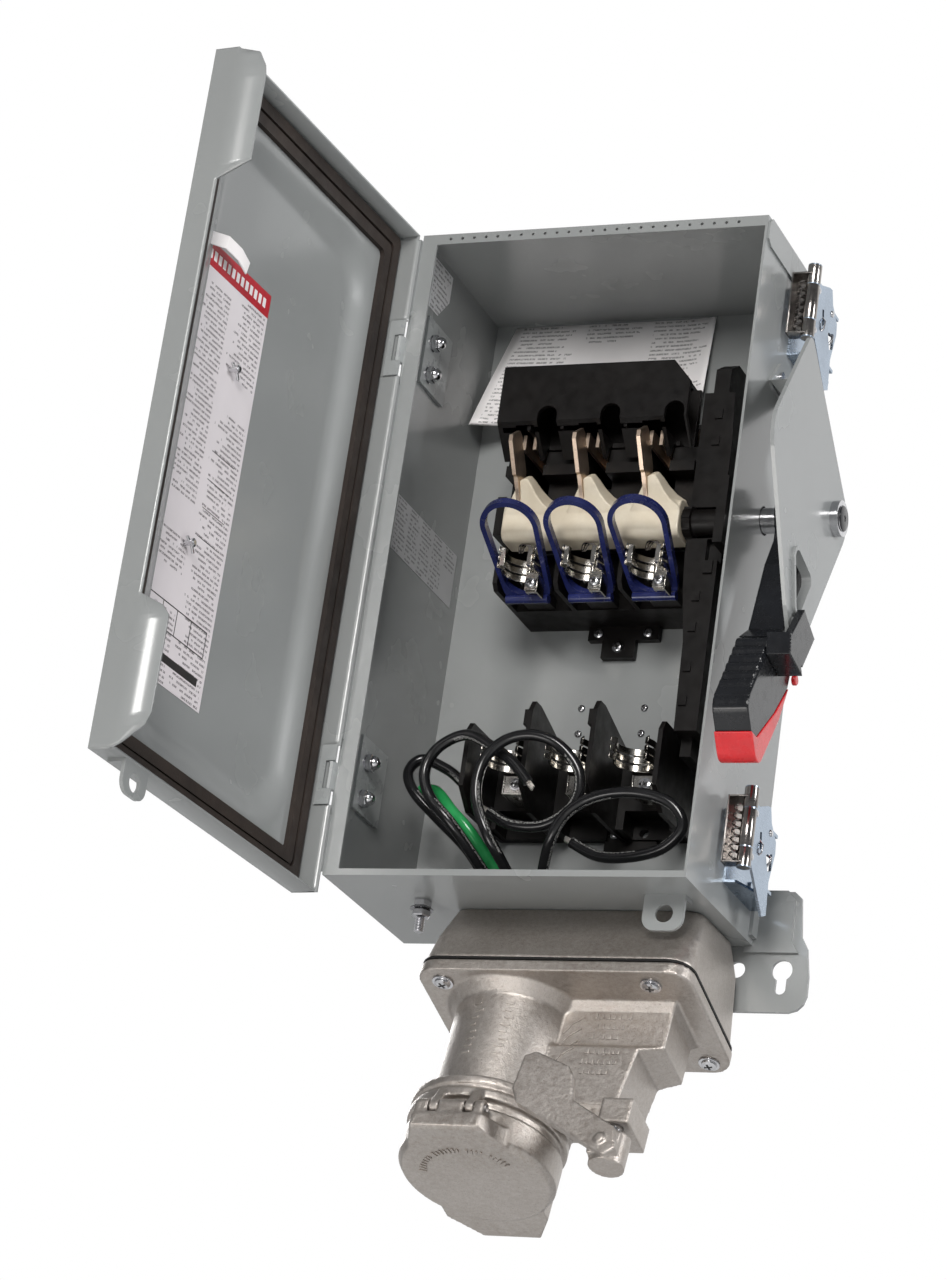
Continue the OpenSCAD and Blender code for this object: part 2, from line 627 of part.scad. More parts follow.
// ---------- latches ----------
module latch_base(z) {
  difference() {
    union() {
      block(hw, hw + 1.6, -68, -16, z - 24, z + 22);
      for (s = [z - 24, z + 20.4]) translate([0, 0, s]) linear_extrude(1.6)
        polygon([[hw, -68], [hw + 8, -68], [hw + 14, -50], [hw + 14, -26], [hw + 8, -16], [hw, -16]]);
    }
    rod_z(latch_x, latch_y, z - 26, z + 26, 2);
  }
  rod_z(latch_x, latch_y, z - 24.6, z + 22.6, 2);
  rod_x(hw + 1.6, hw + 3, -24, z - 12, 3.4);
  rod_x(hw + 1.6, hw + 3, -24, z + 10, 3.4);
}

module latch_lever(z) {
  difference() {
    union() {
      side_plate(131.4, 133, [[-78, z - 15], [-71, z - 15], [-44, z - 37], [-37, z - 34], [-39, z - 14], [-33, z + 6],
        [-34, z + 13], [-45, z + 21], [-49, z + 29.4], [-54, z + 28.6], [-68, z + 23], [-78, z + 22]]);
      rod_z(131, -79, z - 19, z + 31, 4.3);
      for (s = [z - 20, z + 16]) translate([0, 0, s]) linear_extrude(2) hull() {
        translate([latch_x, latch_y]) circle(r = 3.6, $fn = 32);
        translate([131.4, -52]) square([1.6, 20]);
      }
    }
    rod_z(latch_x, latch_y, z - 30, z + 30, 2.05);
    side_plate(130, 134, [[-63, z + 9], [-60, z + 10], [-57.6, z], [-60.4, z - 1]]);
    side_plate(130, 134, [[-49, z], [-38, z + 4], [-37, z - 6], [-43, z - 9]]);
  }
}

module latch_base_upper() color([0.66, 0.68, 0.69]) latch_base(latch_high);
module latch_lever_upper() color([0.66, 0.72, 0.80]) latch_lever(latch_high);
module latch_base_lower() color([0.66, 0.68, 0.69]) latch_base(latch_low);
module latch_lever_lower() color([0.66, 0.72, 0.80]) latch_lever(latch_low);

// ---------- adapter box and receptacle ----------
module adapter_shape(g) {
  hull() {
    translate([0, 0, -1 + (g > 0 ? -4 : 0)]) linear_extrude(0.9) rrect(-53 + g, 104 - g, -68 + g, -5 - g, 9 - g / 2);
    translate([0, 0, -24]) linear_extrude(1) rrect(-55 + g, 110 - g, -87 + g, -5 - g, 9 - g / 2);
    in_receptacle() translate([0, 0, g > 0 ? -1 : -2]) linear_extrude(g > 0 ? 2 : 1.9)
      rrect(-57 + g, 113 - g, -48 + g, 50 - g, 14 - g / 2);
  }
}
module adapter_box() color([0.62, 0.58, 0.54]) difference() {
  adapter_shape(0);
  adapter_shape(6);
  rod_z(bush_x, bush_y, -30, 1, bush_r + 0.6);
}

module adapter_gasket() color([0.06, 0.06, 0.06]) in_receptacle() linear_extrude(1.6) difference() {
  rrect(-58, 114, -49, 52, 14);
  rrect(-50, 106, -41, 44, 10);
}

module interlock_housing() {
  hull() {
    block(25, 99, -20, 26, 9.6, 11);
    block(27, 97, -16, 22, 14, 15);
  }
  block(27, 97, -16, 22, 14, 40);
  hull() {
    block(27, 83, -20, 22, 42, 44);
    block(27, 95, -16, 22, 39, 40);
  }
  hull() {
    block(27, 83, -20, 22, 42, 44);
    block(27, 78, -20, 22, 80, 82);
  }
  translate([64, 0, 0]) rotate([90, 0, 90]) linear_extrude(16) polygon([[-20, 80], [-8.5, 102], [22, 83], [22, 80]]);
  translate([50, 0, 0]) rotate([90, 0, 90]) linear_extrude(27) polygon([[-20, 80], [-16, 86], [20, 84], [22, 80]]);
  hull() {
    block(70, 80, -18, -2, 82, 96);
    block(82, 92, -34, -16, 96, 111.5);
  }
}

module receptacle_body() color([0.63, 0.60, 0.57]) in_receptacle() difference() {
  union() {
    translate([0, 0, 1.6]) linear_extrude(8) rrect(-58, 114, -49, 54, 14);
    translate([barrel_u, 0, 9.6]) cylinder(h = 8, r1 = barrel_r + 7, r2 = barrel_r);
    translate([barrel_u, 0, 9.6]) cylinder(h = 69, r = barrel_r);
    translate([barrel_u, 0, 78]) cylinder(h = 4, r1 = barrel_r, r2 = ring_r);
    translate([barrel_u, 0, 82]) cylinder(h = 5, r = ring_r);
    translate([barrel_u, 0, 87]) cylinder(h = 3, r = ring_r - 2);
    translate([barrel_u, 0, 90]) cylinder(h = 6, r = ring_r);
    translate([barrel_u, 0, 96]) cylinder(h = 5, r = ring_r - 4);
    interlock_housing();
    block(82, 101, -48.5, -16, 95, 111.5);
    for (u = [-20, 2]) hull() {
      translate([u, lid_pin_v, lid_pin_w]) rotate([0, 90, 0]) cylinder(h = 6, r = 4.2);
      block(u, u + 6, -46, -34, 90, 95);
    }
  }
  translate([barrel_u, 0, 0]) cylinder(h = 110, r = barrel_r - 6);
  translate([lever_u, lever_v, 94]) cylinder(h = 20, r = 4);
  translate([-40, lid_pin_v, lid_pin_w]) rotate([0, 90, 0]) cylinder(h = 70, r = 2.1);
  for (p = cover_holes) translate([p[0], p[1], 0]) cylinder(h = 20, r = 3.05);
}

module cover_screws() color([0.80, 0.80, 0.82]) in_receptacle() for (p = cover_holes) {
  translate([p[0], p[1], 1.7]) cylinder(h = 8, r = 3);
  difference() {
    translate([p[0], p[1], 9.7]) cylinder(h = 3, r1 = 5.6, r2 = 4.6);
    translate([p[0] - 6, p[1] - 0.7, 11.6]) cube([12, 1.4, 2]);
  }
}

module receptacle_insulator() color([0.10, 0.10, 0.11]) in_receptacle() difference() {
  translate([barrel_u, 0, 34]) cylinder(h = 34, r = barrel_r - 6.05);
  for (a = [45:90:315]) translate([barrel_u + 17 * cos(a), 17 * sin(a), 33]) cylinder(h = 40, r = 5.5);
}

module contact_sleeves() color([0.80, 0.66, 0.40]) in_receptacle() for (a = [45:90:315])
  translate([barrel_u + 17 * cos(a), 17 * sin(a), 34]) difference() {
    cylinder(h = 30, r = 5.45);
    translate([0, 0, 4]) cylinder(h = 30, r = 4);
  }

module flap_cover() color([0.60, 0.59, 0.58]) in_receptacle() difference() {
  union() {
    translate([barrel_u, 0, 102]) cylinder(h = 17, r = ring_r - 1);
    translate([barrel_u, 0, 119]) cylinder(h = 4, r1 = ring_r - 1, r2 = ring_r - 4);
    hull() {
      block(-28, 14, -55, -40, 113, 121);
      block(-28, 14, -52, -40, 111, 122.6);
      block(-36, 26, -34, -30, 111, 122.6);
    }
    translate([-28, lid_pin_v, lid_pin_w]) rotate([0, 90, 0]) cylinder(h = 42, r = 4.6);
    block(-28, 14, -54.6, -44, lid_pin_w, 114);
    hull() {
      block(-38, 26, 30, 43, 106, 122);
      block(-21, 15, 60, 63, 112, 122);
    }
  }
  translate([barrel_u, 0, 100]) cylinder(h = 14, r = ring_r - 7);
  translate([-60, lid_pin_v, lid_pin_w]) rotate([0, 90, 0]) cylinder(h = 90, r = 2.15);
  for (u = [-20.4, 1.6]) block(u, u + 6.8, -62, -36, 84, 111.4);
  block(-60, 60, -60, -45.4, 84, 101);
}

module flap_pin() color([0.78, 0.78, 0.80]) in_receptacle()
  translate([-29, lid_pin_v, lid_pin_w]) rotate([0, 90, 0]) cylinder(h = 44, r = 2.1);

module release_lever() color([0.61, 0.56, 0.52]) in_receptacle() difference() {
  union() {
    translate([0, -49.4, 0]) rotate([90, 0, 0]) linear_extrude(6) offset(r = 2, $fn = 24)
      polygon([[33, 74], [38, 72], [59, 81], [62, 86], [66, 103], [95, 120], [98, 132], [94, 135], [35, 103], [31, 95]]);
    translate([lever_u, lever_v, 118]) cylinder(h = 20, r = 10.5);
    block(82, 100, -52, -44, 120, 134);
    rod_y(90, -57, -50, 127, 3);
  }
  translate([lever_u, lever_v, 110]) cylinder(h = 24, r = 4.05);
}

module release_pin() color([0.78, 0.78, 0.80]) in_receptacle()
  translate([lever_u, lever_v, 95]) cylinder(h = 38, r = 4);

// ---------- wiring ----------
module wire_bushing() color([0.70, 0.71, 0.72]) difference() {
  union() {
    rod_z(bush_x, bush_y, -12, 6, bush_r);
    rod_z(bush_x, bush_y, sheet, 6, bush_r + 4);
  }
  rod_z(bush_x, bush_y, -14, 8, bush_r - 3);
}

module black_wires() color([0.04, 0.04, 0.04]) {
  tube(wire_a, rings_n, wire_r);
  tube(wire_b, rings_n + 3, wire_r);
  tube(wire_c, rings_n - 1, wire_r);
  tube(wire_d, rings_n + 2, wire_r);
}

module green_wire() color([0.10, 0.55, 0.20]) tube(wire_g, 8, wire_r);

enclosure_shell();
top_mounting_foot();
bottom_mounting_foot();
enclosure_hasp_tab();
hinge_brackets();
hinge_bolts();
hinge_nuts();
bonding_stud();
inner_rating_label();
inner_warning_label();
instruction_booklet();
guard_plate();
guard_bush();
guard_rivets();
line_base();
line_shield();
line_jaws();
fuse_base();
fuse_clips_upper();
fuse_terminals();
base_screws();
load_base();
fuse_clips_lower();
load_lugs();
lug_screws();
mechanism_housing();
shaft_bearing();
rotor();
switch_blades();
drive_shaft();
handle_arm();
handle_grip();
handle_end_cap();
lock_tab();
fuse_puller_a();
fuse_puller_b();
fuse_puller_c();
door_panel();
door_gasket();
door_label();
door_hasp_tab();
door_leaves();
latch_base_upper();
latch_lever_upper();
latch_base_lower();
latch_lever_lower();
adapter_box();
adapter_gasket();
receptacle_body();
cover_screws();
receptacle_insulator();
contact_sleeves();
flap_cover();
flap_pin();
release_lever();
release_pin();
wire_bushing();
black_wires();
green_wire();
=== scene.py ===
import json
import math
import random

import bmesh
import bpy
from mathutils import Matrix, Vector


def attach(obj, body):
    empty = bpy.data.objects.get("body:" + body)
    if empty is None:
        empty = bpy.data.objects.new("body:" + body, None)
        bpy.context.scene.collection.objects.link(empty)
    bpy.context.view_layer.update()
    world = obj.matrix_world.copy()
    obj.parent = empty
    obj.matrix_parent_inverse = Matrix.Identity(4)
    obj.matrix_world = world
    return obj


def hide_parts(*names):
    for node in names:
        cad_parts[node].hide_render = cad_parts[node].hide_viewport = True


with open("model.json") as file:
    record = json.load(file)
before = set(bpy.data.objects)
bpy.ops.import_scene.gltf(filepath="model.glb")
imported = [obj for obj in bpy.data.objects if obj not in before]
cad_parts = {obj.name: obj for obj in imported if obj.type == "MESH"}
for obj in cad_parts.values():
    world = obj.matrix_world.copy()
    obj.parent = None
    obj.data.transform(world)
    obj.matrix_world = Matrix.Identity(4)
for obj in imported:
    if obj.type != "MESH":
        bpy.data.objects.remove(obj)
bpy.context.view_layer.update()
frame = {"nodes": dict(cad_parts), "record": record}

random.seed(11)
MM = 0.001
nodes = frame["nodes"]
scene = bpy.context.scene

# ---------- frames: millimetres in the part's own words, metres in the model ----------
WALL = Matrix.Scale(MM, 4)

# door: u from the hinge edge, v from the lip to the outer face, z up; it stands open in this frame
DOOR_OPEN = math.radians(94)
HINGE = Vector((-118.6, -129.6, 0))
DOOR_EDGE, DOOR_LIP = -119.0, -127.6
DOOR = (WALL @ Matrix.Translation(HINGE) @ Matrix.Rotation(-DOOR_OPEN, 4, "Z") @ Matrix.Translation(-HINGE)
        @ Matrix(((1, 0, 0, DOOR_EDGE), (0, -1, 0, DOOR_LIP), (0, 0, 1, 0), (0, 0, 0, 1))))

# receptacle: u to the right, v to the back, w along the barrel
TILT = math.radians(17)
PLUG_AT = (0, -54, -55)
PLUG = (WALL @ Matrix.Translation(PLUG_AT) @ Matrix.Rotation(-TILT, 4, "X")
        @ Matrix.Diagonal((1, 1, -1, 1)))

# ---------- camera ----------
EYE = Vector((0.920797, -2.193485, -0.729791))
RIGHT = Vector((0.9193269, 0.3687028, 0.1374636))
DOWN = Vector((-0.0164645, 0.3850771, -0.9227375))
AHEAD = Vector((-0.3931500, 0.8460342, 0.3600823))
camera_data = bpy.data.cameras.new("camera")
camera_data.sensor_width = 36
camera_data.lens = 114.46
camera_data.clip_start, camera_data.clip_end = 0.05, 30
camera = bpy.data.objects.new("camera", camera_data)
scene.collection.objects.link(camera)
camera.matrix_world = Matrix(((RIGHT.x, -DOWN.x, -AHEAD.x, EYE.x), (RIGHT.y, -DOWN.y, -AHEAD.y, EYE.y),
                              (RIGHT.z, -DOWN.z, -AHEAD.z, EYE.z), (0, 0, 0, 1)))
scene.camera = camera
scene.view_settings.view_transform = "Standard"


# ---------- materials ----------
class Net:
    """One procedural material being wired up."""

    def __init__(self, name):
        self.material = bpy.data.materials.new(name)
        self.material.use_nodes = True
        self.tree = self.material.node_tree
        self.tree.nodes.clear()
        self.shader = self.tree.nodes.new("ShaderNodeBsdfPrincipled")
        out = self.tree.nodes.new("ShaderNodeOutputMaterial")
        self.join(self.shader.outputs[0], out.inputs[0])
        self.where = self.tree.nodes.new("ShaderNodeTexCoord").outputs["Object"]

    def join(self, a, b):
        self.tree.links.new(a, b)

    def put(self, socket, value):
        if isinstance(value, bpy.types.NodeSocket):
            self.join(value, socket)
        else:
            socket.default_value = value

    def math(self, kind, a, b=0.0):
        n = self.tree.nodes.new("ShaderNodeMath")
        n.operation = kind
        for socket, value in zip(n.inputs, (a, b)):
            self.put(socket, value)
        return n.outputs[0]

    def noise(self, scale, detail=3.0, rough=0.55, where=None):
        n = self.tree.nodes.new("ShaderNodeTexNoise")
        self.join(where or self.where, n.inputs["Vector"])
        n.inputs["Scale"].default_value = scale
        n.inputs["Detail"].default_value = detail
        n.inputs["Roughness"].default_value = rough
        return n.outputs[0]

    def cells(self, scale):
        n = self.tree.nodes.new("ShaderNodeTexVoronoi")
        self.join(self.where, n.inputs["Vector"])
        n.inputs["Scale"].default_value = scale
        return n.outputs[0]

    def stretch(self, scale):
        n = self.tree.nodes.new("ShaderNodeMapping")
        self.join(self.where, n.inputs["Vector"])
        n.inputs["Scale"].default_value = scale
        return n.outputs[0]

    def uv(self):
        """The two coordinates of the piece's own UV map."""
        n = self.tree.nodes.new("ShaderNodeSeparateXYZ")
        self.join(self.tree.nodes.new("ShaderNodeUVMap").outputs[0], n.inputs[0])
        return n.outputs[0], n.outputs[1]

    def point(self, x, y):
        n = self.tree.nodes.new("ShaderNodeCombineXYZ")
        self.join(x, n.inputs[0])
        self.join(y, n.inputs[1])
        return n.outputs[0]

    def ramp(self, value, lo, hi, out_lo=0.0, out_hi=1.0):
        n = self.tree.nodes.new("ShaderNodeMapRange")
        n.clamp = True
        for socket, v in zip(n.inputs, (value, lo, hi, out_lo, out_hi)):
            self.put(socket, v)
        return n.outputs[0]

    def mix(self, share, a, b):
        n = self.tree.nodes.new("ShaderNodeMix")
        n.data_type = "RGBA"
        self.put(n.inputs["Factor"], share)
        for socket, v in ((n.inputs["A"], a), (n.inputs["B"], b)):
            self.put(socket, v if isinstance(v, bpy.types.NodeSocket) else (*v, 1.0))
        return n.outputs["Result"]

    def bump(self, height, strength, depth):
        n = self.tree.nodes.new("ShaderNodeBump")
        self.join(height, n.inputs["Height"])
        n.inputs["Strength"].default_value = strength
        n.inputs["Distance"].default_value = depth
        self.join(n.outputs[0], self.shader.inputs["Normal"])

    def finish(self, colour, rough, metal=0.0, coat=0.0, shine=0.5):
        self.put(self.shader.inputs["Base Color"], colour)
        self.put(self.shader.inputs["Roughness"], rough)
        self.shader.inputs["Metallic"].default_value = metal
        self.shader.inputs["Coat Weight"].default_value = coat
        self.shader.inputs["Coat Roughness"].default_value = 0.12
        self.shader.inputs["Specular IOR Level"].default_value = shine
        return self.material


def surface(name, light, dark, rough, spread=9.0, grain=700.0, bump=0.1, depth=0.0002, metal=0.0, coat=0.0,
            wear=0.0, wear_colour=(0.5, 0.5, 0.5), rough_span=0.08, shine=0.5):
    """Two tones mottled together, fine grain in the relief, and scattered scuffs."""
    n = Net(name)
    broad = n.noise(spread, 4, 0.6)
    fine = n.noise(grain, 2, 0.6)
    colour = n.mix(n.ramp(broad, 0.34, 0.66), dark, light)
    colour = n.mix(n.ramp(fine, 0.3, 0.7, 0.0, 0.16), colour, dark)
    if wear:
        patch = n.ramp(n.noise(34, 4, 0.6), 0.52, 0.70)
        scuff = n.ramp(n.noise(210, 3, 0.7, n.stretch((1, 1, 5))), 0.60, 0.72)
        colour = n.mix(n.math("MULTIPLY", n.math("MULTIPLY", patch, scuff), wear), colour, wear_colour)
    gloss = n.ramp(n.noise(spread * 3.1, 3, 0.6), 0.3, 0.7, rough - rough_span, rough + rough_span)
    n.bump(n.math("ADD", fine, n.math("MULTIPLY", broad, 0.5)), bump, depth)
    return n.finish(colour, gloss, metal, coat, shine)


def brushed(name, light, dark, rough, along=(1, 1, 14), spread=260.0, wear=0.3):
    """Bare or plated metal with fine drawn lines and dull patches."""
    n = Net(name)
    lines = n.noise(spread, 3, 0.6, n.stretch(along))
    cloud = n.noise(30, 4, 0.6)
    tone = n.math("ADD", n.math("MULTIPLY", lines, 0.4), n.math("MULTIPLY", cloud, 0.6))
    colour = n.mix(n.ramp(tone, 0.35, 0.65), dark, light)
    stain = n.ramp(n.noise(90, 5, 0.7), 0.56, 0.72, 0.0, wear)
    colour = n.mix(stain, colour, tuple(c * 0.55 for c in dark))
    dulled = n.math("ADD", n.math("MULTIPLY", lines, 0.5), n.math("MULTIPLY", cloud, 0.5))
    gloss = n.ramp(dulled, 0.3, 0.7, rough - 0.07, rough + 0.1)
    n.bump(lines, 0.12, 0.00008)
    return n.finish(colour, gloss, 1.0)


def casting():
    """Blasted sand casting: coarse grain, dark pores, worn bright high spots."""
    n = Net("cast_aluminium")
    sand = n.noise(1150, 3, 0.7)
    coarse = n.noise(330, 4, 0.65)
    cloud = n.noise(13, 4, 0.6)
    colour = n.mix(n.ramp(cloud, 0.32, 0.68), (0.36, 0.318, 0.282), (0.47, 0.432, 0.400))
    colour = n.mix(n.ramp(coarse, 0.35, 0.68, 0.0, 0.45), colour, (0.60, 0.575, 0.55))
    colour = n.mix(n.ramp(sand, 0.52, 0.72, 0.0, 0.5), colour, (0.20, 0.178, 0.160))
    pores = n.ramp(n.cells(210), 0.0, 0.10, 0.55, 0.0)
    colour = n.mix(pores, colour, (0.16, 0.145, 0.13))
    worn = n.math("ADD", n.math("MULTIPLY", coarse, 0.5), n.math("MULTIPLY", cloud, 0.5))
    gloss = n.ramp(worn, 0.36, 0.64, 0.33, 0.50)
    pitted = n.math("SUBTRACT", coarse, n.math("MULTIPLY", pores, 0.8))
    n.bump(n.math("ADD", n.math("MULTIPLY", sand, 0.5), pitted), 0.55, 0.0005)
    return n.finish(colour, gloss, 0.86)


def printed(name, paper, ink, rows, columns, density, tint=None):
    """Film or paper with rows of small printed marks, broken into word-like runs; no real lettering."""
    n = Net(name)
    u, v = n.uv()
    line = n.math("MULTIPLY", v, rows)
    row = n.math("FLOOR", line)
    inside = n.math("FRACT", line)
    band = n.math("MULTIPLY", n.math("GREATER_THAN", inside, 0.30), n.math("LESS_THAN", inside, 0.74))
    col = n.math("MULTIPLY", u, columns)
    side = n.math("FRACT", col)
    scatter = n.math("FRACT", n.math("MULTIPLY", n.math("SINE", n.math("MULTIPLY", row, 91.7)), 43.1))
    end = n.ramp(scatter, 0.0, 1.0, 0.55, 0.96)
    margin = n.math("MULTIPLY", n.math("GREATER_THAN", side, 0.07), n.math("LESS_THAN", side, end))
    run = n.point(n.math("MULTIPLY", u, columns * density), n.math("MULTIPLY", row, 3.17))
    words = n.math("GREATER_THAN", n.noise(1.0, 1, 0.5, run), 0.43)
    stroke = n.point(n.math("MULTIPLY", u, columns * density * 5.5), n.math("MULTIPLY", v, rows * 2.6))
    shapes = n.ramp(n.noise(1.0, 2, 0.6, stroke), 0.40, 0.50)
    block = n.point(n.math("FLOOR", col), n.math("FLOOR", n.math("MULTIPLY", v, rows / 7.0)))
    white = n.tree.nodes.new("ShaderNodeTexWhiteNoise")
    n.join(block, white.inputs["Vector"])
    present = n.math("GREATER_THAN", white.outputs["Value"], 0.16)
    mask = band
    for part in (margin, words, shapes, present):
        mask = n.math("MULTIPLY", mask, part)
    paper_tone = n.mix(n.ramp(n.noise(26, 3), 0.35, 0.65), paper, tuple(c * 0.93 for c in paper))
    # tint: the paper runs darker and warmer towards its bottom edge (v = 0), a quarter of the way to the tint
    # there
    if tint:
        paper_tone = n.mix(n.ramp(v, 0.0, 1.0, 0.25, 0.0), paper_tone, tint)
    colour = n.mix(n.math("MULTIPLY", mask, 0.82), paper_tone, ink)
    n.bump(n.noise(600, 2), 0.05, 0.0001)
    return n.finish(colour, n.ramp(n.noise(50, 3), 0.3, 0.7, 0.34, 0.46))


def jacket(name, tone, lighter, print_side):
    """Smooth wire jacket, with a faint line of printing along one side."""
    n = Net(name)
    along, around = n.uv()
    colour = n.mix(n.ramp(n.noise(70, 3), 0.35, 0.65), tone, lighter)
    band = n.math("MULTIPLY", n.math("GREATER_THAN", around, print_side),
                  n.math("LESS_THAN", around, print_side + 0.075))
    place = n.point(n.math("MULTIPLY", along, 620.0), n.math("MULTIPLY", around, 26.0))
    marks = n.ramp(n.noise(1.0, 2, 0.6, place), 0.46, 0.52)
    runs = n.math("GREATER_THAN", n.noise(26.0, 1, 0.5), 0.47)
    mask = n.math("MULTIPLY", n.math("MULTIPLY", band, marks), n.math("MULTIPLY", runs, 0.45))
    colour = n.mix(mask, colour, (0.55, 0.55, 0.53))
    n.bump(n.noise(420, 2), 0.05, 0.0002)
    return n.finish(colour, n.ramp(n.noise(40, 3), 0.3, 0.7, 0.16, 0.26), coat=0.15, shine=0.4)


looks = {
    "grey_paint": surface(
        "grey_paint", (0.272, 0.283, 0.281), (0.252, 0.262, 0.261), rough=0.25, spread=5, grain=480,
        bump=0.1, depth=0.0001, coat=0.2, wear=0.05, wear_colour=(0.24, 0.25, 0.255), rough_span=0.04),
    "hinge_paint": surface(
        "hinge_paint", (0.33, 0.345, 0.345), (0.29, 0.305, 0.305), rough=0.3, spread=30, grain=600,
        bump=0.15, depth=0.00012, wear=0.2, wear_colour=(0.22, 0.23, 0.24)),
    "zinc_steel": brushed(
        "zinc_steel", (0.42, 0.5, 0.6), (0.3, 0.36, 0.44), rough=0.24, along=(1, 1, 7), spread=180,
        wear=0.25),
    "bright_steel": brushed(
        "bright_steel", (0.74, 0.74, 0.75), (0.52, 0.52, 0.54), rough=0.15, along=(1, 6, 1), spread=300,
        wear=0.4),
    "dark_chrome": brushed(
        "dark_chrome", (0.36, 0.34, 0.32), (0.22, 0.2, 0.19), rough=0.14, along=(1, 1, 9), spread=260,
        wear=0.5),
    "tinned_copper": brushed(
        "tinned_copper", (0.62, 0.6, 0.56), (0.36, 0.34, 0.31), rough=0.19, along=(6, 1, 1), spread=260,
        wear=0.55),
    "blade_copper": brushed(
        "blade_copper", (0.72, 0.58, 0.46), (0.5, 0.38, 0.29), rough=0.34, along=(1, 5, 1), spread=240,
        wear=0.4),
    "contact_brass": brushed(
        "contact_brass", (0.78, 0.6, 0.3), (0.58, 0.42, 0.2), rough=0.28, along=(1, 1, 5), spread=260,
        wear=0.4),
    "black_moulding": surface(
        "black_moulding", (0.0062, 0.005, 0.0046), (0.0034, 0.0028, 0.0026), rough=0.4, spread=40,
        grain=900, bump=0.16, depth=0.00012, wear=0.5, wear_colour=(0.018, 0.016, 0.014), shine=0.22),
    "handle_black": surface(
        "handle_black", (0.0095, 0.0105, 0.013), (0.006, 0.0065, 0.008), rough=0.24, spread=50, grain=1100,
        bump=0.1, depth=0.0001, coat=0.15, wear=0.4, wear_colour=(0.03, 0.032, 0.038), shine=0.4),
    "handle_red": surface(
        "handle_red", (0.66, 0.012, 0.018), (0.52, 0.008, 0.013), rough=0.28, spread=45, grain=900,
        bump=0.1, depth=0.0001, coat=0.25, wear=0.3, wear_colour=(0.32, 0.008, 0.01)),
    "cream_moulding": surface(
        "cream_moulding", (0.74, 0.67, 0.54), (0.62, 0.54, 0.41), rough=0.42, spread=42, grain=800,
        bump=0.18, depth=0.00015, coat=0.05, wear=0.5, wear_colour=(0.36, 0.28, 0.19)),
    "blue_plastic": surface(
        "blue_plastic", (0.019, 0.026, 0.12), (0.01, 0.014, 0.072), rough=0.22, spread=60, grain=900,
        bump=0.1, depth=0.0001, coat=0.3, wear=0.5, wear_colour=(0.06, 0.07, 0.19)),
    "cast_aluminium": casting(),
    "zinc_nipple": brushed(
        "zinc_nipple", (0.52, 0.53, 0.54), (0.36, 0.37, 0.38), rough=0.34, along=(1, 1, 6), spread=200,
        wear=0.4),
    "gasket_rubber": surface(
        "gasket_rubber", (0.012, 0.011, 0.011), (0.006, 0.006, 0.006), rough=0.6, spread=60, grain=1000,
        bump=0.3, depth=0.0002, wear=0.4, wear_colour=(0.04, 0.037, 0.035), shine=0.3),
    "door_foam": surface(
        "door_foam", (0.034, 0.024, 0.019), (0.016, 0.011, 0.009), rough=0.6, spread=26, grain=1300,
        bump=0.4, depth=0.0003, wear=0.5, wear_colour=(0.075, 0.055, 0.045), shine=0.35),
    "label_film": printed(
        "label_film", (0.72, 0.7, 0.72), (0.06, 0.055, 0.06), rows=46, columns=3, density=12),
    "booklet_paper": printed(
        "booklet_paper", (0.9, 0.88, 0.88), (0.22, 0.21, 0.21), rows=26, columns=3, density=12,
        tint=(0.86, 0.8, 0.79)),
    "wire_black": jacket("wire_black", (0.0045, 0.0045, 0.005), (0.009, 0.009, 0.01), print_side=0.1),
    "wire_green": jacket("wire_green", (0.014, 0.24, 0.062), (0.03, 0.34, 0.1), print_side=0.55),
}
door_print = printed(
    "door_print", (0.75, 0.71, 0.73), (0.07, 0.06, 0.065), rows=84, columns=2, density=11,
    tint=(0.7, 0.64, 0.66))
label_red = surface(
    "label_red", (0.5, 0.016, 0.03), (0.4, 0.012, 0.022), rough=0.36, spread=60, grain=700, bump=0.06,
    depth=0.0001)
label_black = surface(
    "label_black", (0.035, 0.03, 0.03), (0.02, 0.02, 0.02), rough=0.4, spread=60, grain=700, bump=0.06,
    depth=0.0001)
bare_copper = brushed(
    "bare_copper", (0.82, 0.8, 0.76), (0.6, 0.55, 0.5), rough=0.3, along=(1, 1, 4), spread=500, wear=0.4)
# painted shade: near-black colour laid on the screw heads to stand for the shade inside their cross recesses
painted_recess_shade = surface(
    "painted_recess_shade", (0.03, 0.029, 0.028), (0.014, 0.013, 0.012), rough=0.5, spread=90, grain=900, bump=0.2,
    depth=0.0002)


# ---------- shapes ----------
def rounded(o, angle=32.0):
    """Smooth shading with the true corners kept sharp."""
    mesh = o.data
    mesh.shade_smooth()
    mesh.set_sharp_from_angle(angle=math.radians(angle))


def soften(o, width):
    """Broken edges, width in millimetres."""
    if width:
        m = o.modifiers.new("edges", "BEVEL")
        m.width = width * MM
        m.segments = 2
        m.limit_method = "ANGLE"
        m.angle_limit = math.radians(38)
        m.harden_normals = False
        m.use_clamp_overlap = True


def piece(name, verts, faces, look, body="enclosure", space=WALL, bevel=0.0, angle=32.0, uvs=None,
          stands_for=(), slot=None, weld=True):
    """A mesh in millimetres of one of the frames, riding on a body."""
    bm = bmesh.new()
    made = [bm.verts.new(space @ Vector(v)) for v in verts]
    layer = bm.loops.layers.uv.new("UVMap") if uvs else None
    for f in faces:
        try:
            face = bm.faces.new([made[i] for i in f])
        except ValueError:
            continue
        if layer:
            for loop, i in zip(face.loops, f):
                loop[layer].uv = uvs[i]
    if weld:
        bmesh.ops.remove_doubles(bm, verts=bm.verts, dist=1e-6)
    bmesh.ops.recalc_face_normals(bm, faces=bm.faces)
    mesh = bpy.data.meshes.new(name)
    bm.to_mesh(mesh)
    bm.free()
    mesh.materials.append(looks[look] if isinstance(look, str) else look)
    o = bpy.data.objects.new(name, mesh)
    scene.collection.objects.link(o)
    rounded(o, angle)
    soften(o, bevel)
    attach(o, body)
    if stands_for:
        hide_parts(*stands_for)
    return o


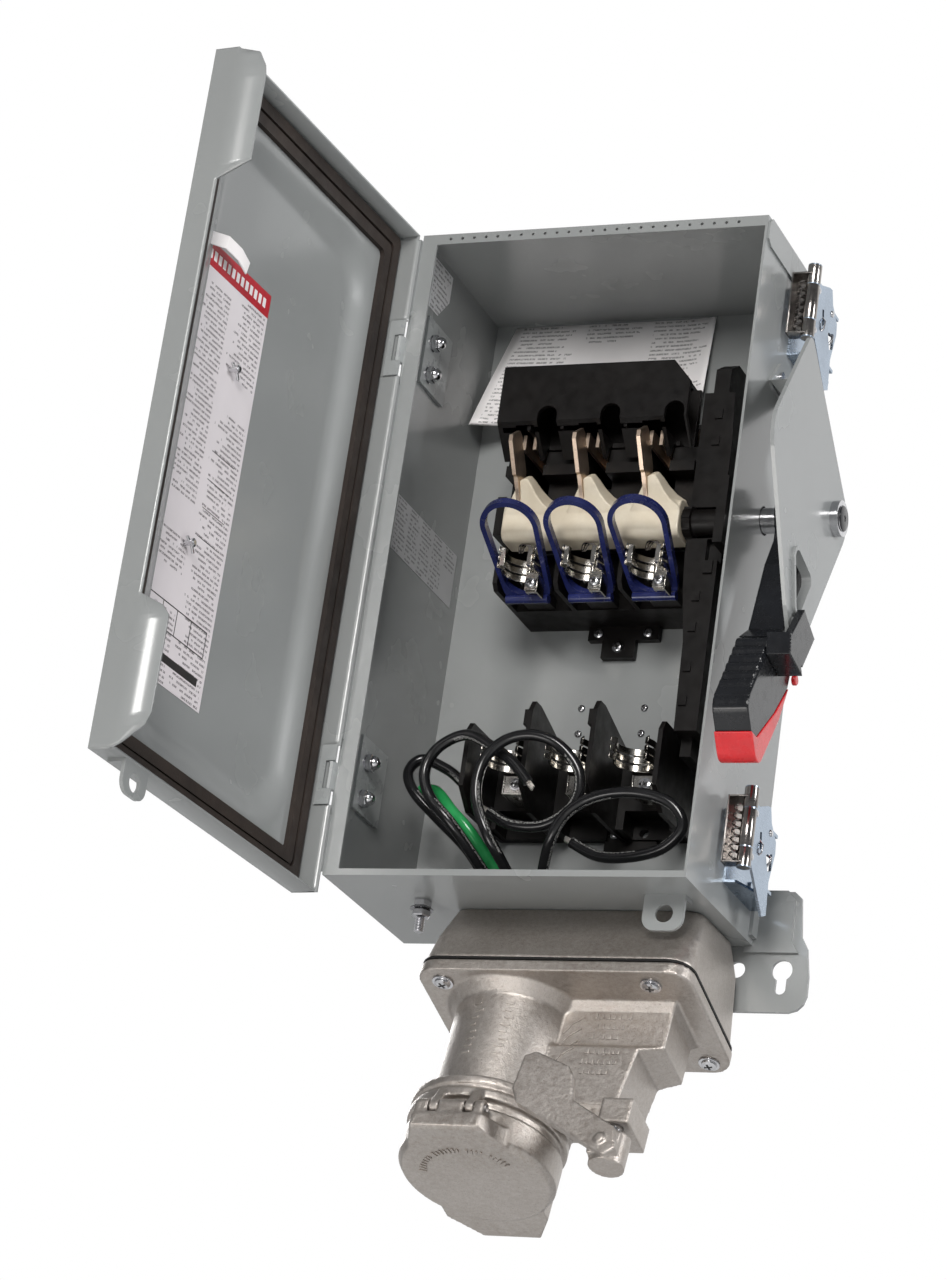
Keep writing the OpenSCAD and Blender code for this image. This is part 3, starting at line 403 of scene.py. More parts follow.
class Shape:
    """Verts and faces gathered from several simple solids of one piece."""

    def __init__(self):
        self.verts, self.faces = [], []

    def add(self, verts, faces):
        k = len(self.verts)
        self.verts += [Vector(v) for v in verts]
        self.faces += [[i + k for i in f] for f in faces]
        return self

    def prism(self, ring_a, ring_b):
        n = len(ring_a)
        return self.add(list(ring_a) + list(ring_b),
                        [[i, (i + 1) % n, n + (i + 1) % n, n + i] for i in range(n)]
                        + [list(range(n)), list(range(n, 2 * n))])

    def block(self, x0, x1, y0, y1, z0, z1):
        a = [(x0, y0, z0), (x1, y0, z0), (x1, y1, z0), (x0, y1, z0)]
        return self.prism(a, [(x, y, z1) for x, y, _ in a])

    def turned(self, profile, origin, axis, n):
        """profile: (radius, distance along axis) from one end to the other."""
        axis = Vector(axis).normalized()
        side = Vector((1, 0, 0) if abs(axis.x) < 0.8 else (0, 1, 0))
        side = (side - side.dot(axis) * axis).normalized()
        other = axis.cross(side)
        verts = [Vector(origin) + axis * h + r * (math.cos(t) * side + math.sin(t) * other)
                 for r, h in profile for t in (2 * math.pi * i / n for i in range(n))]
        faces = [[j * n + i, j * n + (i + 1) % n, (j + 1) * n + (i + 1) % n, (j + 1) * n + i]
                 for j in range(len(profile) - 1) for i in range(n)]
        faces += [list(range(n)), list(range(len(verts) - n, len(verts)))]
        return self.add(verts, faces)

    def sweep(self, line, section, up=(0, 0, 1)):
        """section: (across, along up) pairs carried along the line."""
        n, m = len(line), len(section)
        line = [Vector(p) for p in line]
        verts = []
        for i, p in enumerate(line):
            t = (line[min(i + 1, n - 1)] - line[max(i - 1, 0)]).normalized()
            s = t.cross(Vector(up)).normalized()
            w = s.cross(t)
            verts += [p + s * x + w * y for x, y in section]
        faces = [[i * m + k, i * m + (k + 1) % m, (i + 1) * m + (k + 1) % m, (i + 1) * m + k]
                 for i in range(n - 1) for k in range(m)]
        faces += [list(range(m)), list(range((n - 1) * m, n * m))]
        return self.add(verts, faces)

    def make(self, name, look, **more):
        return piece(name, self.verts, self.faces, look, weld=False, **more)


def circle(r, n):
    return [(r * math.cos(2 * math.pi * i / n), r * math.sin(2 * math.pi * i / n)) for i in range(n)]


def spline(points, steps):
    """A Catmull-Rom line through the points."""
    p = [Vector(q) for q in points]
    out = []
    for i in range(len(p) - 1):
        a, b, c, d = p[max(i - 1, 0)], p[i], p[i + 1], p[min(i + 2, len(p) - 1)]
        for k in range(steps):
            t = k / steps
            out.append(0.5 * (2 * b + (c - a) * t + (2 * a - 5 * b + 4 * c - d) * t * t
                              + (3 * b - a - 3 * c + d) * t ** 3))
    return out + [p[-1]]


def tube(name, line, radius, look, **more):
    """A round tube with its own UVs, frames carried along without twist."""
    n, sides = len(line), 16
    u = None
    verts, uvs, run = [], [], 0.0
    for i, p in enumerate(line):
        t = (line[min(i + 1, n - 1)] - line[max(i - 1, 0)]).normalized()
        u = (Vector((0.3, -1, 0.2)) if u is None else u)
        u = (u - u.dot(t) * t).normalized()
        w = t.cross(u)
        run += (p - line[i - 1]).length * MM if i else 0.0
        for k in range(sides + 1):
            a = 2 * math.pi * k / sides
            verts.append(p + radius * (math.cos(a) * u + math.sin(a) * w))
            uvs.append((run, k / sides))
    m = sides + 1
    faces = [[i * m + k, i * m + k + 1, (i + 1) * m + k + 1, (i + 1) * m + k]
             for i in range(n - 1) for k in range(sides)]
    faces += [list(range(sides)), list(range((n - 1) * m, (n - 1) * m + sides))]
    return piece(name, verts, faces, look, uvs=uvs, angle=50, **more)


# ---------- wires ----------
WIRE_R = 3.4
routes = {
    "wire_a": [[-27, -46, -6], [-28, -47, 8], [-39, -62, 24], [-55, -84, 47], [-71, -88, 64], [-77, -88, 81],
               [-70, -88, 96], [-53, -88, 104], [-36, -88, 97], [-21, -87, 87], [-9, -86, 74]],
    "wire_b": [[-16, -54, -6], [-16, -55, 9], [-18, -82, 21], [-26, -96, 37], [-36, -98, 60], [-35, -98, 82],
               [-23, -98, 96], [-5, -97, 100], [12, -94, 94], [25, -90, 78], [23, -87, 60], [6, -86, 47],
               [-16, -86, 47], [-32, -86, 55]],
    "wire_c": [[-28, -34, -6], [-29, -35, 8], [-43, -49, 25], [-56, -58, 42], [-75, -62, 59], [-92, -66, 75],
               [-99, -64, 89], [-93, -60, 99], [-76, -58, 93], [-64, -58, 84]],
    "wire_d": [[-6, -50, -6], [-5, -51, 9], [4, -76, 15], [14, -94, 34], [24, -98, 50], [42, -99, 60],
               [66, -100, 62], [88, -99, 56], [97, -96, 43], [86, -92, 31], [66, -89, 26], [43, -86, 27],
               [24, -85, 36]],
    "wire_g": [[-18, -34, -6], [-19, -35, 8], [-33, -47, 24], [-52, -62, 50], [-66, -64, 64], [-80, -60, 78],
               [-94, -52, 82]],
}
STRAND_OUT = 1.35
for wire_name, route in routes.items():
    green = wire_name == "wire_g"
    line = spline(route, 12)
    body = tube(wire_name, line, WIRE_R, "wire_green" if green else "wire_black",
                stands_for=("green_wire",) if green else ("black_wires",))
    if not green:
        tip = (line[-1] - line[-2]).normalized()
        side = Vector((0, 0.6, 0.8))
        strands = Shape()
        for k in range(7):
            a = k * math.pi / 3
            off = STRAND_OUT * (math.cos(a) * side + math.sin(a) * tip.cross(side)) if k else Vector((0, 0, 0))
            strands.turned([(0.3, -2), (0.72, -1.6), (0.72, 5.2), (0.3, 5.6)], line[-1] + off, tip, 8)
        strands.make(wire_name + "_strands", bare_copper, slot="tinned_copper")

# ---------- studio ----------
FLOOR_Z, FLOOR_HALF = -0.98, 30
floor_mesh = bpy.data.meshes.new("floor")
corners = [(x * FLOOR_HALF, y * FLOOR_HALF, FLOOR_Z) for x, y in ((-1, -1), (1, -1), (1, 1), (-1, 1))]
floor_mesh.from_pydata(corners, [], [(0, 1, 2, 3)])
floor = bpy.data.objects.new("floor", floor_mesh)
scene.collection.objects.link(floor)
floor_mesh.materials.append(surface("floor_grey", (0.80, 0.80, 0.80), (0.76, 0.76, 0.76), rough=0.6,
                                    spread=2, grain=300, bump=0.05, depth=0.0002))


def lamp(name, at, target, size, power, tint=(1, 1, 1)):
    data = bpy.data.lights.new(name, "AREA")
    data.shape = "RECTANGLE"
    data.size, data.size_y = size
    data.energy = power
    data.color = tint
    o = bpy.data.objects.new(name, data)
    scene.collection.objects.link(o)
    o.location = at
    o.rotation_mode = "QUATERNION"
    o.rotation_quaternion = (Vector(target) - Vector(at)).to_track_quat("-Z", "Y")


lamp("key", (0.45, -2.45, 0.85), (0, -0.05, 0.12), (0.8, 0.8), 46, (1.0, 0.985, 0.965))
lamp("side", (2.3, -0.40, 0.75), (-0.15, -0.25, 0.15), (0.5, 0.8), 26, (0.985, 0.99, 1.0))
lamp("back", (-1.6, 1.9, 1.1), (0, 0, 0.15), (1.2, 1.2), 30, (0.98, 0.99, 1.0))
lamp("low", (-0.35, -1.35, -0.90), (0.02, -0.12, -0.08), (0.8, 0.5), 7.5, (1.0, 0.97, 0.94))
world = bpy.data.worlds.new("studio")
scene.world = world
world.use_nodes = True
wt = world.node_tree
wt.nodes.clear()
sky = wt.nodes.new("ShaderNodeBackground")
sky_out = wt.nodes.new("ShaderNodeOutputWorld")
sky_where = wt.nodes.new("ShaderNodeTexCoord")
sky_split = wt.nodes.new("ShaderNodeSeparateXYZ")
sky_ramp = wt.nodes.new("ShaderNodeValToRGB")
wt.links.new(sky_where.outputs["Generated"], sky_split.inputs[0])
wt.links.new(sky_split.outputs[1], sky_ramp.inputs[0])
wt.links.new(sky_ramp.outputs[0], sky.inputs[0])
wt.links.new(sky.outputs[0], sky_out.inputs[0])
sky_ramp.color_ramp.elements[0].position = 0.30
sky_ramp.color_ramp.elements[0].color = (0.165, 0.168, 0.175, 1)
sky_ramp.color_ramp.elements[1].position = 0.64
sky_ramp.color_ramp.elements[1].color = (1.0, 1.0, 1.0, 1)

# ---------- every CAD node: its material and its broken or blended edges ----------
slot_of = {s["node"]: s["material_slot"] for s in frame["record"]["subparts"]}
EDGE = 0.3
edge_of = {
    "enclosure_shell": 0.5, "line_base": 0.4, "fuse_base": 0.4, "load_base": 0.4, "mechanism_housing": 0.5,
    "line_shield": 0.6, "guard_plate": 0.35, "fuse_puller_a": 1.1, "fuse_puller_b": 1.1, "fuse_puller_c": 1.1,
    "switch_blades": 0.25, "door_gasket": 0.35, "latch_lever_upper": 0.4, "latch_lever_lower": 0.4,
    "load_lugs": 0.7, "hinge_bolts": 0.5, "adapter_gasket": 0.25,
}
# castings and mouldings with blended corners: grain of the new skin in mm, rounds of easing
CAST = {
    "adapter_box": (1.1, 5), "receptacle_body": (0.9, 4), "flap_cover": (0.8, 3), "release_lever": (0.7, 3),
    "rotor": (0.6, 3), "handle_grip": (0.5, 9), "handle_end_cap": (0.5, 7), "handle_arm": (0.6, 3),
    "lock_tab": (0.5, 4),
}
for node_name, o in nodes.items():
    o.data.materials.clear()
    o.data.materials.append(looks[slot_of[node_name]])
    rounded(o, 30)
    soften(o, 0 if node_name in CAST else edge_of.get(node_name, EDGE))

for node_name, (grain, rounds) in CAST.items():
    skin = nodes[node_name].modifiers.new("skin", "REMESH")
    skin.mode = "VOXEL"
    skin.voxel_size = grain * MM
    skin.use_smooth_shade = True
    ease = nodes[node_name].modifiers.new("ease", "SMOOTH")
    ease.factor = 0.5
    ease.iterations = rounds

# ---------- door sheet, pressed pan and skirt ----------
DOOR_W, DOOR_BOTTOM, DOOR_TOP, SKIRT, SHEET = 238.0, -12.0, 427.0, 16.0, 1.6
ROW_STEP, STEP_GAP = 3, 0.01
PAN_INSET, PAN_BLEND, PAN_DEPTH, PAN_CORNER = 21.5, 22.0, 6.9, 46.0
# the free side's lip: (z, v), with an ear that stands out at each end
free_lip = [(-12, 0), (1, -17.4), (8, -20.4), (66, -20.4), (72, -15.6), (80, 0), (340, 0),
            (350, -20.8), (406, -20.8), (413, -19.4), (422, -14.4), (426, 0), (427, 0)]
LEAVES = ((43, 81), (328, 366))
LEAF_GAP, LIP_TOP = 0.3, DOOR_TOP - 4


def along(table, z):
    for (z0, v0), (z1, v1) in zip(table, table[1:]):
        if z <= z1:
            return v0 + (v1 - v0) * (z - z0) / (z1 - z0)
    return table[-1][1]


def pan(u, z):
    """How far the sheet is pressed out at a point of the door."""
    hx = DOOR_W / 2 - PAN_INSET - PAN_CORNER
    hz = (DOOR_TOP - DOOR_BOTTOM) / 2 - PAN_INSET - PAN_CORNER
    dx, dz = abs(u - DOOR_W / 2) - hx, abs(z - (DOOR_TOP + DOOR_BOTTOM) / 2) - hz
    outside = math.hypot(max(dx, 0), max(dz, 0)) + min(max(dx, dz), 0)
    t = min(max((PAN_CORNER - outside) / PAN_BLEND, 0), 1)
    return PAN_DEPTH * t * t * (3 - 2 * t)


def hinge_lip(z):
    """Depth of the hinge side's lip: cut back at the leaves and at the top corner."""
    for a, b in LEAVES:
        if a - LEAF_GAP < z < b + LEAF_GAP:
            return 5.4
    return -1.8 if z < LIP_TOP else 0.0


steps = [z + g for a, b in LEAVES for z in (a - LEAF_GAP, b + LEAF_GAP) for g in (-STEP_GAP, STEP_GAP)]
steps += [LIP_TOP - STEP_GAP, LIP_TOP + STEP_GAP]
rows = [DOOR_BOTTOM + ROW_STEP * i for i in range(147)]
z_marks = sorted({z for z in rows if z < DOOR_TOP} | {z for z, _ in free_lip} | set(steps))
u_marks = [DOOR_W * i / 79 for i in range(80)]
sheet = Shape()
grid = [(u, SKIRT + pan(u, z), z) for z in z_marks for u in u_marks]
m = len(u_marks)
sheet.add(grid, [[j * m + i, j * m + i + 1, (j + 1) * m + i + 1, (j + 1) * m + i]
                 for j in range(len(z_marks) - 1) for i in range(m - 1)])
for u, lip in ((0.0, hinge_lip), (DOOR_W, lambda z: along(free_lip, z))):
    strip = [(u, v, z) for z in z_marks for v in (SKIRT, 2.0 + max(lip(z), 0) * 0.5, lip(z))]
    sheet.add(strip, [[j * 3 + i, j * 3 + i + 1, (j + 1) * 3 + i + 1, (j + 1) * 3 + i]
                      for j in range(len(z_marks) - 1) for i in range(2)])
for z in (DOOR_BOTTOM, DOOR_TOP):
    strip = [(u, v, z) for u in u_marks for v in (SKIRT, 0.0)]
    sheet.add(strip, [[i * 2, i * 2 + 1, i * 2 + 3, i * 2 + 2] for i in range(m - 1)])
panel = piece("door_sheet", sheet.verts, sheet.faces, "grey_paint", "door", DOOR, stands_for=("door_panel",),
              angle=60)
bend = panel.modifiers.new("bend", "BEVEL")
bend.width, bend.segments = 1.5 * MM, 3
bend.limit_method, bend.angle_limit = "ANGLE", math.radians(60)
thick = panel.modifiers.new("thick", "SOLIDIFY")
thick.thickness, thick.offset = SHEET * MM, -1

# ---------- door label: film, red heading, table rules and clip ----------
LABEL_U0, LABEL_U1, LABEL_Z0, LABEL_Z1 = 126.0, 205.0, 53.0, 322.0
HEADING_Z0 = 307.0
LABEL_V = SKIRT - SHEET + PAN_DEPTH - 0.35


def sticker(name, z0, z1, v, look, stands_for=(), lift=0.25):
    """A thin printed rectangle across the door label's width, with UVs over its front."""
    verts = [(LABEL_U0, v, z0), (LABEL_U1, v, z0), (LABEL_U1, v, z1), (LABEL_U0, v, z1)]
    back = [(u, v + lift, z) for u, _, z in verts]
    uv = [(0, 0), (1, 0), (1, 1), (0, 1)]
    faces = [[0, 1, 2, 3], [4, 5, 6, 7]] + [[i, (i + 1) % 4, 4 + (i + 1) % 4, 4 + i] for i in range(4)]
    piece(name, verts + back, faces, look, "door", DOOR, uvs=uv + uv, slot="label_film", stands_for=stands_for,
          angle=20)


sticker("door_label_film", LABEL_Z0, LABEL_Z1, LABEL_V, door_print, stands_for=("door_label",))
sticker("label_heading", HEADING_Z0, LABEL_Z1, LABEL_V - 0.05, label_red, lift=0.04)
marks = Shape()
for k in range(13):
    u = 131 + k * 5.4
    marks.block(u, u + 3.4, LABEL_V - 0.09, LABEL_V - 0.05, 311.5, 317.5)
marks.make("heading_marks", "booklet_paper", body="door", space=DOOR, slot="label_film")
rules = Shape()
for z in (84, 100):
    rules.block(132, 199, LABEL_V - 0.06, LABEL_V, z, z + 0.7)
for u in (132, 150, 166, 182, 198.3):
    rules.block(u, u + 0.7, LABEL_V - 0.06, LABEL_V, 84, 100)
for z in (150, 168, 186, 204):
    rules.block(134, 160, LABEL_V - 0.06, LABEL_V, z, z + 0.5)
rules.block(134, 178, LABEL_V - 0.06, LABEL_V, 66, 71)
rules.make("label_rules", label_black, body="door", space=DOOR, slot="label_film")
pins = Shape()
for u, z in ((157, 258), (172, 140)):
    pins.turned([(1.6, 0), (1.6, 5), (2.6, 5.2), (2.6, 6.6), (1.4, 7.4)], (u, LABEL_V, z), (0, -1, 0), 16)
    pins.sweep([(u - 5.5, LABEL_V - 3.4, z - 4), (u - 2, LABEL_V - 4, z - 1), (u + 4, LABEL_V - 3.8, z + 2.5)],
               circle(1.0, 8), up=(0, 1, 0))
pins.make("panel_studs", "bright_steel", body="door", space=DOOR)
clip = Shape()
clip.sweep([(203, LABEL_V - 0.6, 322), (196, LABEL_V - 9, 321), (184, LABEL_V - 11, 319),
            (172, LABEL_V - 10, 316)],
           [(-4.5, -0.5), (4.5, -0.5), (4.5, 0.5), (-4.5, 0.5)], up=(0, 1, 0))
clip.make("panel_clip", "booklet_paper", body="door", space=DOOR, bevel=0.3, slot="label_film")
dimple = Shape()
dimple.turned([(2.6, 0), (2.3, 0.35), (1.2, 0.55)], (DOOR_W - 0.5, 6.5, 214), (1, 0, 0), 20)
dimple.make("flange_dimple", "grey_paint", body="door", space=DOOR)

# ---------- labels and booklet inside the box ----------
INNER = -113.4


def wall_sticker(name, ring, look, stands_for):
    """A label on the left inner wall; ring is (y, z, u, v) corners."""
    n = len(ring)
    verts = [(INNER + 0.28, y, z) for y, z, _, _ in ring] + [(INNER + 0.05, y, z) for y, z, _, _ in ring]
    uvs = [(u, v) for _, _, u, v in ring] * 2
    faces = [list(range(n)), list(range(n, 2 * n))]
    faces += [[i, (i + 1) % n, n + (i + 1) % n, n + i] for i in range(n)]
    piece(name, verts, faces, look, uvs=uvs, slot="label_film", stands_for=stands_for, angle=20)


rating_print = printed("rating_print", (0.55, 0.55, 0.56), (0.10, 0.10, 0.10), 12, 5, 6)
warning_print = printed("warning_print", (0.70, 0.70, 0.71), (0.08, 0.08, 0.08), 10, 1, 8)
wall_sticker("rating_label_film", [(-109, 221, 0, 0), (-12, 221, 1, 0), (-12, 257, 1, 1), (-109, 257, 0, 1)],
             rating_print, ("inner_rating_label",))
wall_sticker("warning_label_film", [(-110, 388, 0, 0), (-94, 388, 0.5, 0), (-80, 404, 1, 0.5), (-80, 422, 1, 1),
                                    (-110, 422, 0, 1)], warning_print, ("inner_warning_label",))
# the booklet's pages lean on the back wall; their hinge-side lower corners curl forward
PAGES, PAGE_W, PAGE_H = 7, 146, 74
PAGE_LEFT, PAGE_BOTTOM = -109, 350.3
X_LEAST, X_MOST = -112, 41.8
nu, nz = 26, 12
row = nu + 1
for k in range(PAGES):
    verts, uvs = [], []
    for j in range(nz + 1):
        for i in range(nu + 1):
            a, b = i / nu, j / nz
            x = PAGE_LEFT + PAGE_W * a + 0.55 * k + 9 * b * b * (1 - a)
            z = PAGE_BOTTOM + PAGE_H * b
            curl = (25 + 0.5 * k) * max(0, 1 - 2.3 * a) ** 1.5 * (1 - b) ** 1.4
            fan = 1.9 * k * (max(0, a - 0.8) / 0.2) ** 2 * (1 - 0.8 * b)
            verts.append((max(min(x - 0.12 * curl, X_MOST), X_LEAST), -2.0 - 0.09 * k - curl - fan,
                          z - 0.28 * curl))
            uvs.append((a, b))
    faces = [[j * row + i, j * row + i + 1, (j + 1) * row + i + 1, (j + 1) * row + i]
             for j in range(nz) for i in range(nu)]
    page = piece(f"booklet_page_{k + 1}", verts, faces, "booklet_paper", uvs=uvs, angle=60,
                 stands_for=("instruction_booklet",), weld=False)
    body_of_page = page.modifiers.new("paper", "SOLIDIFY")
    body_of_page.thickness = 0.07 * MM

# ---------- behind the arc shield ----------
liner = Shape()
liner.block(-55.5, 59.5, -62, -58, 304.5, 343.5)
for x in (-38.5, -16.5, 25.5):
    liner.block(x - 1.2, x + 1.2, -94.5, -58, 304.5, 343.5)
liner.make("shield_liner", "black_moulding", bevel=0.3)


# ---------- screws with cross recesses ----------
def cross_screw(shape, dark, at, axis, r, high, roll=0.3):
    """A domed head and its crossed recess; the recess is two dark bars of painted shade set on the dome, not
    cut in.
    """
    axis = Vector(axis).normalized()
    at = Vector(at)
    shape.turned([(r * 0.98, 0), (r, 0.18 * high), (r * 0.93, 0.55 * high), (r * 0.72, 0.85 * high),
                  (r * 0.4, 0.98 * high), (r * 0.12, high)], at, axis, 28)
    side = axis.orthogonal().normalized()
    other = axis.cross(side)
    # painted shade: the recess is drawn as two dark bars standing on the dome's top
    for q in (roll, roll + math.pi / 2):
        d = math.cos(q) * side + math.sin(q) * other
        e = axis.cross(d)
        ring = [at + axis * (high * 0.86) + d * (s * r * 0.52) + e * (t * r * 0.13)
                for s, t in ((-1, -1), (1, -1), (1, 1), (-1, 1))]
        dark.prism(ring, [p + axis * (high * 0.17) for p in ring])


heads, recess_shades = Shape(), Shape()
cross_screw(heads, recess_shades, (0, -50.6, 276), (0, -1, 0), 4.6, 2.7)
cross_screw(heads, recess_shades, (4, -7, 194), (0, -1, 0), 4.0, 2.7, 0.8)
for x in (-10, 23):
    cross_screw(heads, recess_shades, (x, -7, 203.5), (0, -1, 0), 3.3, 1.9, 0.5)
cross_screw(heads, recess_shades, (18, -6, 70), (0, -1, 0), 3.6, 2.6, 0.2)
for x in (-17, 25):
    for z in (138, 155):
        cross_screw(heads, recess_shades, (x, -1.6, z), (0, -1, 0), 2.5, 1.7, 0.6)
heads.make("panel_screw_heads", "bright_steel", stands_for=("base_screws",))
# the recesses are dark bars of painted shade on the heads
recess_shades.make("panel_screw_recess_shade", painted_recess_shade, slot="bright_steel")

heads, recess_shades = Shape(), Shape()
for u, v in ((-43, -36), (88, -36), (101, 43), (-44, 43)):
    heads.turned([(6.4, 0), (6.6, 0.5), (6.4, 1.0)], (u, v, 9.7), (0, 0, 1), 28)
    cross_screw(heads, recess_shades, (u, v, 10.5), (0, 0, 1), 4.9, 2.3, u * 0.1)
heads.make("cover_screw_heads", "bright_steel", space=PLUG, stands_for=("cover_screws",))
# the recesses are dark bars of painted shade on the heads
recess_shades.make("cover_screw_recess_shade", painted_recess_shade, space=PLUG, slot="bright_steel")

# ---------- acorn nuts and earthing stud ----------
nuts = Shape()
for z in (366, 344, 82, 59):
    at = (-111.4, -98, z)
    nuts.turned([(5.6, 0), (5.6, 0.6)], at, (1, 0, 0), 28)
    nuts.turned([(5.0, 0.6), (5.6, 1.2), (5.6, 4.0), (4.9, 4.5)], at, (1, 0, 0), 6)
    nuts.turned([(4.5, 4.4), (4.4, 5.6), (3.9, 7.0), (2.9, 8.2), (1.5, 8.9), (0.2, 9.0)], at, (1, 0, 0), 24)
nuts.make("acorn_nuts", "bright_steel", stands_for=("hinge_nuts",))
STUD_X, STUD_Y = -68, -82
stud = Shape()
thread = [(2.4, 0)]
for k in range(9):
    thread += [(3.0, 0.5 + k), (2.45, 1.0 + k)]
stud.turned(thread, (STUD_X, STUD_Y, -20), (0, 0, 1), 20)
stud.turned([(2.5, 0), (3.0, 0.3), (3.0, 14), (2.4, 14.6)], (STUD_X, STUD_Y, -5.5), (0, 0, 1), 20)
for z0, z1 in ((-10.6, -6.2), (-5.0, 0.0), (1.7, 6.4)):
    h = z1 - z0
    stud.turned([(5.2, 0), (6.0, 0.7), (6.0, h - 0.7), (5.2, h)], (STUD_X, STUD_Y, z0), (0, 0, 1), 6)
# the washer is five equal discs in one place, which darkens it
for _ in range(5):
    stud.turned([(4.2, 0), (7.0, 0.1), (7.0, 0.8), (4.2, 0.9)], (STUD_X, STUD_Y, -6.1), (0, 0, 1), 24)
stud.make("earthing_stud", "bright_steel", stands_for=("bonding_stud",))

# ---------- fuse clips, terminals and lugs ----------
POLES = (-38, 4, 46)
BAND_R, BAND_TALL, BAND_PITCH = 12.4, 4.0, 5.2


def clip_band(shape, x, y, z0):
    """One spring band: an open ring with flared lips, facing the front."""
    h = BAND_TALL / 2
    line = []
    for k in range(33):
        a = math.radians(-42 + k * 264 / 32)
        line.append((x + BAND_R * math.cos(a), y + BAND_R * math.sin(a), z0 + h))
    first, last = line[0], line[-1]
    line = [(first[0] + 3.0, first[1] - 3.6, first[2])] + line + [(last[0] - 3.0, last[1] - 3.6, last[2])]
    shape.sweep(line, [(-0.5, -h), (0.5, -h), (0.5, h), (-0.5, h)])


upper, lower = Shape(), Shape()
for x in POLES:
    for k in range(3):
        clip_band(upper, x - 1, -72, 216.4 + BAND_PITCH * k)
        clip_band(lower, x - 1, -56, 96.4 + BAND_PITCH * k)
    upper.block(x - 7, x + 5, -60.2, -58.8, 216, 231)
    upper.block(x - 7, x + 5, -59.6, -50, 216.1, 217.7)
    for s in (-1, 1):
        upper.block(x - 1 + s * 9 - 1.6, x - 1 + s * 9 + 1.6, -84.5, -80.4, 217.5, 229.5)
    upper.turned([(1.5, 0), (1.5, 12)], (x - 1, -61, 218), (0, 0, 1), 12)
    lower.block(x - 7, x + 5, -43.8, -42.2, 96, 111)
    lower.block(x - 7, x + 5, -43.4, -26.2, 96, 98)
upper.make("spring_clips_upper", "tinned_copper", bevel=0.25, stands_for=("fuse_clips_upper",))
lower.make("spring_clips_lower", "tinned_copper", bevel=0.25, stands_for=("fuse_clips_lower",))

# ---------- raised marks on the castings: plain bars and chevrons ----------
BARREL_U, BARREL_R = -5, 38
FLAP_MARK_R, FLAP_TOP = 31, 122.6
marks = Shape()


def housing_face(w):
    """Depth of the interlock housing's front face along the barrel."""
    return -15.9 if w < 39.4 else -19.9


for k in range(4):
    w = 19 + 8 * k
    v = housing_face(w) - 0.3
    marks.sweep([(32, v, w + 12), (36, v, w + 5), (43, v, w)],
                [(-0.9, -0.55), (0.9, -0.55), (0.6, 0.55), (-0.6, 0.55)], up=(0, 1, 0))
for row, w in enumerate((17, 24, 31, 44, 51, 58)):
    u = 49 + 1.5 * (row % 2)
    while u < 72 - 2 * (row % 3):
        wide = random.uniform(1.6, 3.2)
        marks.block(u, u + wide, housing_face(w) - 0.75, housing_face(w) + 0.3, w, w + 3.4)
        u += wide + 1.1
marks.make("housing_marks", "cast_aluminium", space=PLUG, bevel=0.25)
ticks = Shape()
for k in range(26):
    a = math.radians(196 + k * 5.2)
    if k in (7, 15, 20):
        continue
    c, s = math.cos(a), math.sin(a)
    high = 1.5 + 0.8 * random.random()
    ring = [(BARREL_U + (FLAP_MARK_R + r) * c - t * s, (FLAP_MARK_R + r) * s + t * c, FLAP_TOP)
            for r, t in ((-high, -0.6), (high, -0.6), (high, 0.6), (-high, 0.6))]
    ticks.prism(ring, [(x, y, FLAP_TOP + 1.1) for x, y, _ in ring])
ticks.make("flap_ticks", "cast_aluminium", body="flap", space=PLUG, bevel=0.15)
ridges = Shape()
for angle in (255, 285):
    for k in range(8):
        a = math.radians(angle + random.uniform(-1.5, 1.5))
        w0 = 24 + k * 4.9
        half = random.uniform(1.6, 3.2)
        ring = []
        for t, w in ((-half, w0), (half, w0), (half, w0 + 1.5), (-half, w0 + 1.5)):
            b = a + t / BARREL_R
            ring.append((BARREL_U + (BARREL_R - 0.4) * math.cos(b), (BARREL_R - 0.4) * math.sin(b), w))
        ridges.prism(ring, [(BARREL_U + (x - BARREL_U) * 1.026, y * 1.026, w) for x, y, w in ring])
ridges.make("barrel_ridges", "cast_aluminium", space=PLUG, bevel=0.15)

# ---------- rolled strip behind the door's hinge flange ----------
strip = Shape()
for z0, z1 in ((86, 323), (371, 424), (2, 38)):
    strip.block(-117.1, -115.0, -129.2, -126.4, z0, z1)
for a, b in LEAVES:
    strip.block(-116.4, -115.0, -127.2, -124.4, a - 5, b + 5)
strip.make("hinge_side_strip", "grey_paint", bevel=0.3)

# ---------- drive shaft: bright rod, dark coupling and the hub's face ----------
SHAFT_Y, SHAFT_Z = -72, 248
shaft_at = (0, SHAFT_Y, SHAFT_Z)
rod = Shape()
rod.turned([(7.2, 99), (8, 99.8), (8, 164.6), (7.4, 165.4)], shaft_at, (1, 0, 0), 40)
rod.make("shaft_rod", "bright_steel", body="handle", stands_for=("drive_shaft",))
coupling = Shape()
coupling.turned([(5, 55), (5, 64.6), (9.4, 64.8), (10, 65.4), (10, 70.4), (8.2, 71), (7.9, 98), (6.4, 99)],
                shaft_at, (1, 0, 0), 40)
for k in range(8):
    a = k * math.pi / 4
    y, z = SHAFT_Y + 9.7 * math.cos(a), SHAFT_Z + 9.7 * math.sin(a)
    coupling.block(65.4, 70.4, y - 0.8, y + 0.8, z - 0.8, z + 0.8)
coupling.make("shaft_coupling", "black_moulding", body="handle")
face = Shape()
face.turned([(7.7, 165.38), (7.7, 165.9), (6.9, 166.3), (2.0, 166.3), (1.6, 165.9)], shaft_at, (1, 0, 0), 36)
face.make("shaft_end_plug", "handle_black", body="handle")

